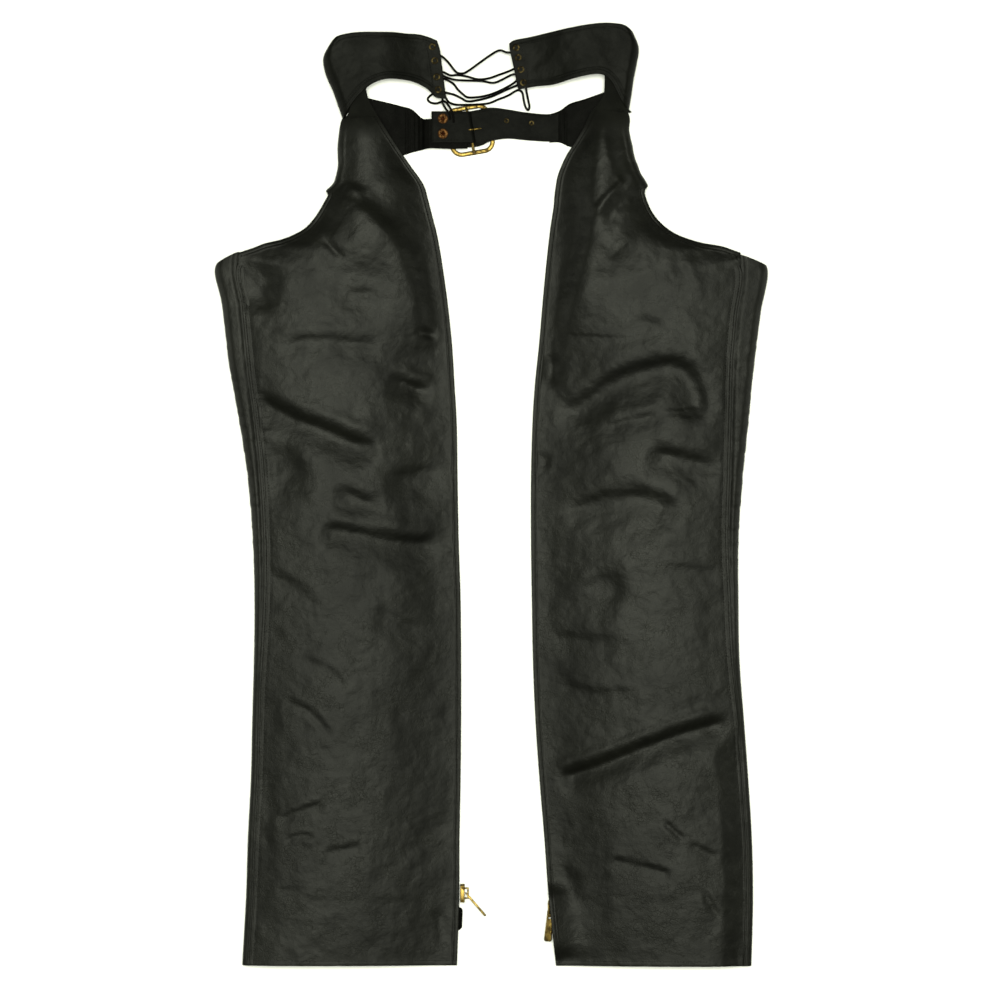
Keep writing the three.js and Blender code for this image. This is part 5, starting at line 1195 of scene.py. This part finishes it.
def yokePiece(side):
    p, edges = yokeLook, yokeEdges[side]
    fold, wall = size["yokeFold"], size["wall"]
    v = np.linspace(0.05, 0.95, p["rows"])
    v = np.concatenate([[0, 0.006, 0.016, 0.032], v, [0.968, 0.984, 0.994, 1]])
    plan = yokePlan(edges, np.linspace(0, 1, 300), v)
    along = np.linalg.norm(np.diff(plan, axis=1), axis=2)[:, ::-1].cumsum(axis=1)
    fromHip = np.hstack([np.zeros((len(v), 1)), along])
    wide = fromHip[:, -1:]
    u = np.concatenate([[0, 0.003, 0.008, 0.016], np.linspace(0.028, 1, p["columns"])])
    a = np.linspace(0, math.pi, p["foldColumns"])[1:]
    flap = np.linspace(0, size["yokeFlap"], 5)[1:]
    away = np.hstack([mix(wide, fold, u), fold * (1 - np.sin(a)) + 0 * wide, fold + flap + 0 * wide])
    x, y = (np.array([np.interp(away[i], fromHip[i], plan[i, ::-1, axis]) for i in range(len(v))])
            for axis in (0, 1))
    z = mix(yokeHeight(side, x, y), 2 * fold + wall / 2, smooth((2 * fold - away) / fold))
    z[:, len(u):] = wall / 2
    z[:, len(u):len(u) + len(a)] += fold + fold * np.cos(a)
    middle = np.stack([signOf(side) * x, y, z], -1)
    samples = np.linspace(0, 1, 160)
    bands = [lineDistance(x, y, edgeCurve(edges[name], samples))[0] for name in ("lower", "upper", "lace")]
    count = len(u) + p["foldColumns"] - 1
    onTop = np.arange(x.shape[1])[None, :] < count
    topShare = 1 - smooth((np.arange(x.shape[1])[None, :] - len(u) + 1) / (p["foldColumns"] * 0.8))
    detail = np.zeros(x.shape)
    for away, width, rise in zip(bands, (p["hem"] + 1, p["hem"], p["laceHem"]), (1, 1, 0.7)):
        detail += hemDetail(away, width, p["rise"] * rise, p["groove"]) * topShare
    inner = smooth(np.minimum.reduce(bands) / 14) * topShare
    detail += p["unevenness"] * (noiseField(x, y, 26, 31) + 0.5 * noiseField(x, y, 11, 32)) * inner
    ends = np.minimum(v, 1 - v)[:, None] * 60
    rim = np.minimum(np.where(onTop, np.minimum.reduce(bands), 99), ends)
    wallTop = size["wall"] / 2 * edgeRound(rim)
    return gridShell(f"yoke{side.title()}", middle, wallTop, wallTop, detail, side == "left", 2)[0]


def boreHoles(piece, centres, radius):
    # Punches round holes through a closed shell
    cutter = lathe("punch", [(0, -9), (radius, -9), (radius, 9), (0, 9)], 24)
    mesh = bpy.data.meshes.new("punches")
    b = bmesh.new()
    for centre in toFrame(centres):
        copied = cutter.data.copy()
        for vertex in copied.vertices:
            vertex.co += Vector(centre)
        b.from_mesh(copied)
        bpy.data.meshes.remove(copied)
    b.to_mesh(mesh)
    b.free()
    punches = addObject("punches", mesh)
    modifier = piece.modifiers.new("holes", "BOOLEAN")
    modifier.operation, modifier.object, modifier.solver = "DIFFERENCE", punches, "EXACT"
    graph = bpy.context.evaluated_depsgraph_get()
    piece.data = bpy.data.meshes.new_from_object(piece.evaluated_get(graph), depsgraph=graph)
    piece.modifiers.clear()
    bpy.data.objects.remove(punches)
    bpy.data.objects.remove(cutter)
    piece.data.set_sharp_from_angle(angle=math.radians(55))
    return piece


def eyeletProfile(flange, bore, leather, swell=0.55):
    # Rolled brass ring on each face, joined by a barrel
    high = leather / 2 + 0.15
    outer = [(mix(bore, flange, 0.5) + (flange - bore) / 2 * math.cos(a), high + swell * math.sin(a))
             for a in np.linspace(0, math.pi, 8)]
    return outer + [(r, -z) for r, z in reversed(outer)]


for side in ("left", "right"):
    made = yokePiece(side)
    t = np.linspace(0.02, 0.97, 200)
    flatLines = [offsetLine(edgeCurve(yokeEdges[side][name], t), away) * [signOf(side), 1]
                 for name, away in yokeLook["stitches"]]
    sew(f"yokeStitches{side.title()}", dropLines(surfaceTree(made), flatLines))
    rideAs(wear(made, shadedYokeHide), [f"yoke_{side}"])
    profile = eyeletProfile(size["eyeletFlange"], size["eyeletBore"], size["wall"] + 0.8)
    rings = setOnPoints(f"laceEyelets{side.title()}", eyeletCentres(side), profile, 28, darkBrass)
    rideAs(rings, [f"lace_eyelet_{side}_{n}" for n in range(1, 5)])
print("yokes made")


# Belt
def strapGrid(table, count, lowest, highest, steps=14):
    # Flat strap from its columns, with distances to its long edges and to the nearest edge
    last = len(table) - 1
    k = np.linspace(0, last, last * steps + 1)
    t = np.concatenate([[0, 0.008, 0.02, 0.045], np.linspace(0.08, 0.92, count), [0.955, 0.98, 0.992, 1]])
    x = rowValue(table, 0, k) * size["halfWidth"]
    low, high = ((rowValue(table, c, k) - 0.5) * size["length"] for c in (1, 2))
    y = mix(low[None, :], high[None, :], t[:, None])
    height = mix(lowest, highest, smooth(rowValue(table, 3, k)))
    middle = np.stack([x[None, :] * np.ones_like(y), y, height[None, :] * np.ones_like(y)], -1)
    away = np.minimum(t, 1 - t)[:, None] * (high - low)[None, :]
    ends = np.minimum(np.abs(x - x[0]), np.abs(x - x[-1]))[None, :] * np.ones_like(away)
    return middle, away, np.minimum(away, ends)


beltInside = {"ribsFrom": {"left": 75, "right": 64}, "ribsWide": 16, "ribPitch": 5.2, "ribDepth": 0.3,
              "stitchesBeside": (16.4, 19.6), "stitchesUp": (0.868, 0.905), "bore": 2.1}


def beltBase(side):
    p, table = beltInside, beltColumns[side]
    wall = size["beltWall"]
    middle, away, rim = strapGrid(table, 34, wall / 2, barHeight)
    x, y = middle[..., 0], middle[..., 1]
    detail = 0.35 * noiseField(x, y, 14, 41) + 0.2 * noiseField(x, y, 6, 42)
    ribsFrom = p["ribsFrom"][side]
    gathered = smooth((ribsFrom + p["ribsWide"] - np.abs(x)) / 3)
    ribs = np.cos(np.abs(x) * 2 * math.pi / p["ribPitch"])
    detail = detail * (1 - 0.7 * gathered) + p["ribDepth"] * gathered * ribs
    detail -= 0.6 * hump((np.abs(x) - ribsFrom - 18) / 1.0)
    detail = detail * smooth(away / 3) + hemDetail(away, 3.4, 0.25, 0.35)
    walls = wall / 2 * edgeRound(rim, 1.1)
    made, _ = gridShell(f"beltBase{side.title()}", middle, walls, walls, detail, side == "right", 2)
    stitchesUp = place(0, np.linspace(*p["stitchesUp"], 40))[1]
    lines = [np.column_stack([np.full(40, signOf(side) * (ribsFrom + step)), stitchesUp])
             for step in p["stitchesBeside"]]
    sew(f"beltStitches{side.title()}", dropLines(surfaceTree(made), lines))
    if side == "left":
        boreHoles(made, [(*place(*where), barHeight) for where in rivetPlaces], p["bore"])
    return rideAs(wear(made, strapInside), [f"belt_base_{side}"])


for side in ("left", "right"):
    beltBase(side)

tongueLap = size["beltWall"] + size["gap"] + size["tongueWall"] / 2
table = beltColumns["tongue"]
middle, away, rim = strapGrid(table, 26, tongueLap, tongueHeight)
x, y = middle[..., 0], middle[..., 1]
tongueDetail = (0.2 * noiseField(x, y, 16, 51) + 0.12 * noiseField(x, y, 6, 52)) * smooth(away / 3)
tongueDetail += hemDetail(away, 3.2, 0.15, 0.3) - 0.35 * hump((x - 16) / 3)
walls = size["tongueWall"] / 2 * edgeRound(rim, 1.2)
tongue, _ = gridShell("beltTongue", middle, walls, walls, tongueDetail, True, 2)
tongueEyelets = [(*place(a, b), mix(tongueLap, tongueHeight, share)) for a, b, share in beltEyeletPlaces]
sewnFrom, sewnTo, stitchInset = 0.4, 6.8, 0.0026
k = np.linspace(sewnFrom, sewnTo, 160)
tongueEdges = [np.column_stack(place(rowValue(table, 0, k), rowValue(table, column, k) + inset))
               for column, inset in ((1, stitchInset), (2, -stitchInset))]
sew("tongueStitches", dropLines(surfaceTree(tongue), tongueEdges))
rideAs(wear(tongue, strapHide), ["belt_tongue"])
beltRings = setOnPoints("beltEyelets", tongueEyelets, eyeletProfile(2.9, 1.2, 2.6, 0.5), 24, darkBrass)
rideAs(beltRings, ["belt_eyelet_1", "belt_eyelet_2"])

# Billet folded round the buckle's bar
buckleX, buckleY = place(-0.077, 0.888)
billet = {"rows": 30, "flat": 26, "fold": 22, "round": (billetHigh - billetLow) / 2, "stitchIn": 2.9}
t = np.concatenate([[0, 0.01, 0.025, 0.05], np.linspace(0.09, 0.91, billet["rows"]), [0.95, 0.975, 0.99, 1]])
y = mix(billetSpan["low"] - 0.5, billetSpan["high"] - 0.5, t) * size["length"]
turnX = buckleX - math.tan(size["frameTurn"]) * (y - buckleY)
startX = -billetSpan["out"] * size["halfWidth"]
flat = np.linspace(0, 1, billet["flat"])
a = np.linspace(0, math.pi, billet["fold"])[1:-1]
xTop = mix(startX, turnX[:, None], flat)
xFold = turnX[:, None] + billet["round"] * np.sin(a)
x = np.hstack([xTop, xFold, xTop[:, ::-1]])
z = np.concatenate([np.full(len(flat), billetHigh), barHeight + billet["round"] * np.cos(a),
                    np.full(len(flat), billetLow)])[None, :] * np.ones_like(x)
middle = np.stack([x, y[:, None] * np.ones_like(x), z], -1)
away = (np.minimum(t, 1 - t) * (y[-1] - y[0]))[:, None] * np.ones_like(x)
ends = np.abs(x - startX)
walls = size["billetWall"] / 2 * edgeRound(np.minimum(away, ends), 1.0)
billetDetail = 0.18 * noiseField(x, y[:, None] * np.ones_like(x), 9, 61) * smooth(away / 2)
billetDetail += hemDetail(away, 2.8, 0.12, 0.28)
billetPiece, _ = gridShell("beltBillet", middle, walls, walls, billetDetail, False, 2)
sewnX = np.linspace(startX + 2, buckleX - 1, 60)
lines = [np.column_stack([sewnX, np.full(60, up)])
         for up in (y[0] + billet["stitchIn"], y[-1] - billet["stitchIn"])]
sew("billetStitches", dropLines(surfaceTree(billetPiece), lines))
rideAs(wear(billetPiece, strapHide), ["belt_billet"])

# Rivets: a copper ring on its shank, and the red end of the core in its middle
seat = billetHigh + size["billetWall"] / 2 + 0.25
rivetProfile = [(0, billetLow - 1), (1.7, billetLow - 1), (1.7, seat), (5.4, seat), (5.65, seat + 0.25),
                (5.5, seat + 0.6), (5.0, seat + 0.85), (4.0, seat + 0.95), (2.7, seat + 0.85),
                (2.3, seat + 0.35), (0, seat + 0.3)]
coreProfile = [(0, seat + 0.1), (2.05, seat + 0.1), (2.0, seat + 0.55), (1.4, seat + 0.8), (0, seat + 0.9)]
rivetCentres = [(*place(*where), 0) for where in rivetPlaces]
rivets = setOnPoints("beltRivets", rivetCentres, rivetProfile, 32, copper)
rideAs(rivets, ["rivet_1", "rivet_2"])
cores = setOnPoints("rivetCores", rivetCentres, coreProfile, 20, redCopper)
rideAs(cores, [])
print("belt made")


# Buckle
def sweepClosed(path, across, thick, sides):
    # Ring of an oval section along a closed flat path, in mm
    tangent = np.roll(path, -1, axis=0) - np.roll(path, 1, axis=0)
    tangent /= np.linalg.norm(tangent, axis=1, keepdims=True)
    outward = np.stack([tangent[:, 1], -tangent[:, 0], np.zeros(len(path))], 1)
    a = np.linspace(0, 2 * math.pi, sides, endpoint=False)
    square = 0.75
    side, up = (np.sign(wave) * np.abs(wave) ** square for wave in (np.cos(a), np.sin(a)))
    points = path[:, None] + outward[:, None] * (across * side)[None, :, None]
    points[..., 2] += (thick * up)[None, :]
    count = len(path)
    faces = [(i * sides + j, i * sides + (j + 1) % sides, ((i + 1) % count) * sides + (j + 1) % sides,
              ((i + 1) % count) * sides + j) for i in range(count) for j in range(sides)]
    return points.reshape(-1, 3), faces


def sweepOpen(path, radii, sides=12):
    # Rod along an open path with closed round ends
    tangent = np.gradient(path, axis=0)
    tangent /= np.linalg.norm(tangent, axis=1, keepdims=True)
    up = np.array([0.17, 0.9, 0.4])
    side = np.cross(tangent, up)
    side /= np.linalg.norm(side, axis=1, keepdims=True)
    other = np.cross(tangent, side)
    a = np.linspace(0, 2 * math.pi, sides, endpoint=False)
    ring = side[:, None] * np.cos(a)[None, :, None] + other[:, None] * np.sin(a)[None, :, None]
    points = path[:, None] + ring * radii[:, None, None]
    count = len(path)
    faces = [(i * sides + j, i * sides + (j + 1) % sides, (i + 1) * sides + (j + 1) % sides,
              (i + 1) * sides + j) for i in range(count - 1) for j in range(sides)]
    faces += [tuple(range(sides))[::-1], tuple((count - 1) * sides + j for j in range(sides))]
    return points.reshape(-1, 3), faces


def roundedPath(w, h, r, steps):
    right, top = w / 2 - r, h / 2 - r
    corners = [(right, top, 0), (-right, top, 90), (-right, -top, 180), (right, -top, 270)]
    path = []
    for cx, cy, start in corners:
        for q in np.radians(np.linspace(start, start + 90, steps)):
            path.append((cx + r * math.cos(q), cy + r * math.sin(q), 0))
    return np.array(path)


def turnBuckle(points):
    c, s = math.cos(size["frameTurn"]), math.sin(size["frameTurn"])
    x, y, z = points.T
    return np.stack([x * c - y * s + buckleX, x * s + y * c + buckleY, z], 1)


def joinedBrass(name, parts, node):
    points, faces = [], []
    for p, f in parts:
        base = sum(len(q) for q in points)
        points.append(p)
        faces += [tuple(base + i for i in face) for face in f]
    made = makeMesh(name, np.vstack(points), faces)
    b = bmesh.new()
    b.from_mesh(made.data)
    bmesh.ops.recalc_face_normals(b, faces=b.faces)
    b.to_mesh(made.data)
    b.free()
    made.data.shade_smooth()
    made.data.set_sharp_from_angle(angle=math.radians(50))
    return rideAs(wear(made, brass), [node])


half = size["frameBar"] / 2
cornerRadius = 10.5
ringPath = roundedPath(size["frameWidth"] - 2 * half, size["frameHeight"] - 2 * half, cornerRadius, 10)
ringPath[:, 2] = size["frameThickness"] / 2
ringPart = sweepClosed(ringPath, half, size["frameThickness"] / 2, 16)
barEnd = size["frameHeight"] / 2 - half
strapHalf = (billetSpan["high"] - 0.5) * size["length"] - buckleY + 1.6
barHalf = [(0, strapHalf - 5, barHeight), (0, strapHalf, barHeight - 0.4),
           (0, mix(strapHalf, barEnd, 0.55), mix(barHeight, size["frameThickness"], 0.4)),
           (0, barEnd, size["frameThickness"] / 2)]
barLine = [(x, -y, z) for x, y, z in reversed(barHalf)] + [(0, 0, barHeight)] + barHalf
barPath = alongCurve(barLine, np.linspace(0, 1, 50))
barPart = sweepOpen(barPath, np.full(50, size["barRadius"]))
frameParts = [(turnBuckle(p), f) for p, f in (ringPart, barPart)]
joinedBrass("buckleFrame", frameParts, "buckle_frame")
eye = size["barRadius"] + size["gap"] + size["prongRadius"]
prongInside = size["frameWidth"] / 2 - size["frameBar"] - size["gap"] - 0.4
eyeTurns = math.pi * (1.16 - 1.5 * np.arange(8) / 7)
prongLine = [(eye * math.cos(q), 0, barHeight + eye * math.sin(q)) for q in eyeTurns]
prongLine += [(mix(eye, prongInside, 0.45), 0, mix(tongueHeight, barHeight, 0.2)),
              (mix(eye, prongInside, 0.75), 0, size["frameThickness"] * 0.75),
              (prongInside - size["prongRadius"], 0, size["frameThickness"] / 2)]
prongPath = alongCurve(prongLine, np.linspace(0, 1, 60))
prongRadii = size["prongRadius"] * (1 - 0.35 * smooth((np.linspace(0, 1, 60) - 0.9) / 0.1))
prongPoints, prongFaces = sweepOpen(prongPath, prongRadii)
joinedBrass("buckleProng", [(turnBuckle(prongPoints), prongFaces)], "buckle_prong")
print("buckle made")


# Zips
zipLook = {"pitch": 0.00165, "tooth": (0.0015, 0.00105, 0.0018), "stagger": 0.0003, "tapeUneven": 0.08,
           "sliderEdge": 0.35, "pullEdge": 0.3}


def rowAt(side, up):
    k = np.linspace(0, len(legRows[side]) - 1, 2000)
    return np.interp(up, rowValue(legRows[side], rowColumn["innUp"], k), k)


def zipTape(side):
    z = zips[side]
    up = mix(z["tapeEnd"], z["top"], np.linspace(0, 1, 220) ** 1.3)
    sec = legSection(side, rowAt(side, up))
    wall = size["tapeWall"]
    low = size["wall"] + size["gap"] + wall / 2
    high = zipEdge + zipLift(side, sec["innY"]) - size["hemWall"] / 2 - size["gap"] - wall / 2
    bulge = z["bulge"] * smooth((z["bulgeTop"] - up) / 0.004) * smooth((up - z["tapeEnd"]) / 0.006 + 0.1)
    radius = (high - low) / 2
    turn = sec["inn"] + size["tapeSetback"] + radius - bulge
    reach = sec["inn"] + size["tapeSetback"] + size["tapeReach"]
    a = np.linspace(0, math.pi, 13)[None, :]
    x = np.hstack([reach[:, None], turn[:, None] - radius[:, None] * np.sin(a), reach[:, None]])
    roll = (low + high)[:, None] / 2 - radius[:, None] * np.cos(a)
    h = np.hstack([np.full((len(up), 1), low), roll, high[:, None]])
    y = sec["innY"][:, None] * np.ones_like(x)
    middle = np.stack([signOf(side) * x, y, h], -1)
    walls = np.full(x.shape, wall / 2)
    detail = zipLook["tapeUneven"] * noiseField(y, x, 2.2, 71)
    made, _ = gridShell(f"zipTape{side.title()}", middle, walls, walls, detail, side == "right", 1)
    rideAs(wear(made, tapeCloth), [f"zip_tape_{side}"])
    bottom = z["slider"] + size["sliderLength"] / 2 / size["length"] + 0.002
    up = np.linspace(bottom, z["top"], 260)
    sec = legSection(side, rowAt(side, up))
    floor = size["wall"] + size["gap"]
    level = floor + (zipEdge - size["hemWall"] / 2 - size["gap"] - floor) / 2
    outer = sec["inn"] + size["tapeSetback"] - wall / 2 - size["gap"] - size["teethDepth"] / 2
    line = toFrame(np.stack([signOf(side) * outer, sec["innY"], np.full(len(up), level)], 1))
    values = {"Pitch": zipLook["pitch"], "Tooth size": zipLook["tooth"], "Stagger": zipLook["stagger"],
              "Finish": darkBrass}
    teeth = grow(lineObject(f"zipLine{side.title()}", [line]), zipTree, values, f"zipTeeth{side.title()}")
    teeth.data.shade_flat()
    rideAs(teeth, [f"zip_teeth_{side}"])


def smoothCopy(node, name, bevel, body):
    # The model's own metal piece with rounded edges
    b = bmesh.new()
    b.from_mesh(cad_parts[node].data)
    bmesh.ops.remove_doubles(b, verts=b.verts, dist=1e-6)
    bmesh.ops.dissolve_limit(b, angle_limit=math.radians(2), verts=b.verts, edges=b.edges)
    sharp = [e for e in b.edges if len(e.link_faces) == 2 and e.calc_face_angle(0) > math.radians(28)]
    bmesh.ops.bevel(b, geom=sharp, offset=bevel * mm, segments=2, profile=0.5, affect="EDGES",
                    clamp_overlap=True)
    bmesh.ops.remove_doubles(b, verts=b.verts, dist=1e-7)
    mesh = bpy.data.meshes.new(name)
    b.to_mesh(mesh)
    b.free()
    mesh.shade_smooth()
    mesh.set_sharp_from_angle(angle=math.radians(35))
    return rideAs(wear(addObject(name, mesh), brass), [node], body)


for side in ("left", "right"):
    zipTape(side)
    smoothCopy(f"zip_slider_{side}", f"zipSlider{side.title()}", zipLook["sliderEdge"], "chaps")
    smoothCopy(f"zip_pull_{side}", f"zipPull{side.title()}", zipLook["pullEdge"], f"{side}_pull")
print("zips made")

# Floor and soft light
stage = {"floor": 3.2, "world": 0.1, "tint": (0.97, 1.0, 0.83), "topLight": 1020, "topSize": (3.0, 3.0),
         "topAt": (0, 0.35, 9), "sideLight": 30, "sideSize": (0.5, 2.4), "sideAt": (2.3, 0.5)}
floorMesh = bpy.data.meshes.new("floor")
reach = stage["floor"]
floorCorners = [(-reach, -reach, 0), (reach, -reach, 0), (reach, reach, 0), (-reach, reach, 0)]
floorMesh.from_pydata(floorCorners, [], [(0, 1, 2, 3)])
floor = addObject("floor", floorMesh)
paper = Finish("paleFloor")
paperTone = paper.blend(paper.noise(paper.place(), 3, 2), (0.93, 0.93, 0.95, 1), (0.95, 0.95, 0.98, 1))
wear(floor, paper.wear(colour=paperTone, roughness=0.9, gloss=0.1))
floor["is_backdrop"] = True
world = bpy.data.worlds.new("studio")
bpy.context.scene.world = world
world.use_nodes = True
world.node_tree.nodes["Background"].inputs["Color"].default_value = (*stage["tint"], 1)
world.node_tree.nodes["Background"].inputs["Strength"].default_value = stage["world"]


def softbox(name, at, target, sizes, power):
    light = bpy.data.lights.new(name, "AREA")
    light.shape = "RECTANGLE"
    light.size, light.size_y = sizes
    light.energy = power
    light.color = stage["tint"]
    made = addObject(name, light)
    made.location = at
    made.rotation_mode = "QUATERNION"
    made.rotation_quaternion = (Vector(target) - Vector(at)).to_track_quat("-Z", "Y")


softbox("ceilingLight", stage["topAt"], (0, 0, 0), stage["topSize"], stage["topLight"])
out, high = stage["sideAt"]
softbox("leftLight", (-out, 0.1, high), (0, 0.1, 0), stage["sideSize"], stage["sideLight"])
softbox("rightLight", (out, 0.1, high), (0, 0.1, 0), stage["sideSize"], stage["sideLight"])
bpy.context.scene.view_settings.view_transform = "Standard"
print("stage set")

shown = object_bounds()
for name, box in (("model's", cadBox), ("visual", shown)):
    print(name, "box in mm:", [round((b - a) / mm, 1) for a, b in zip(*box)])
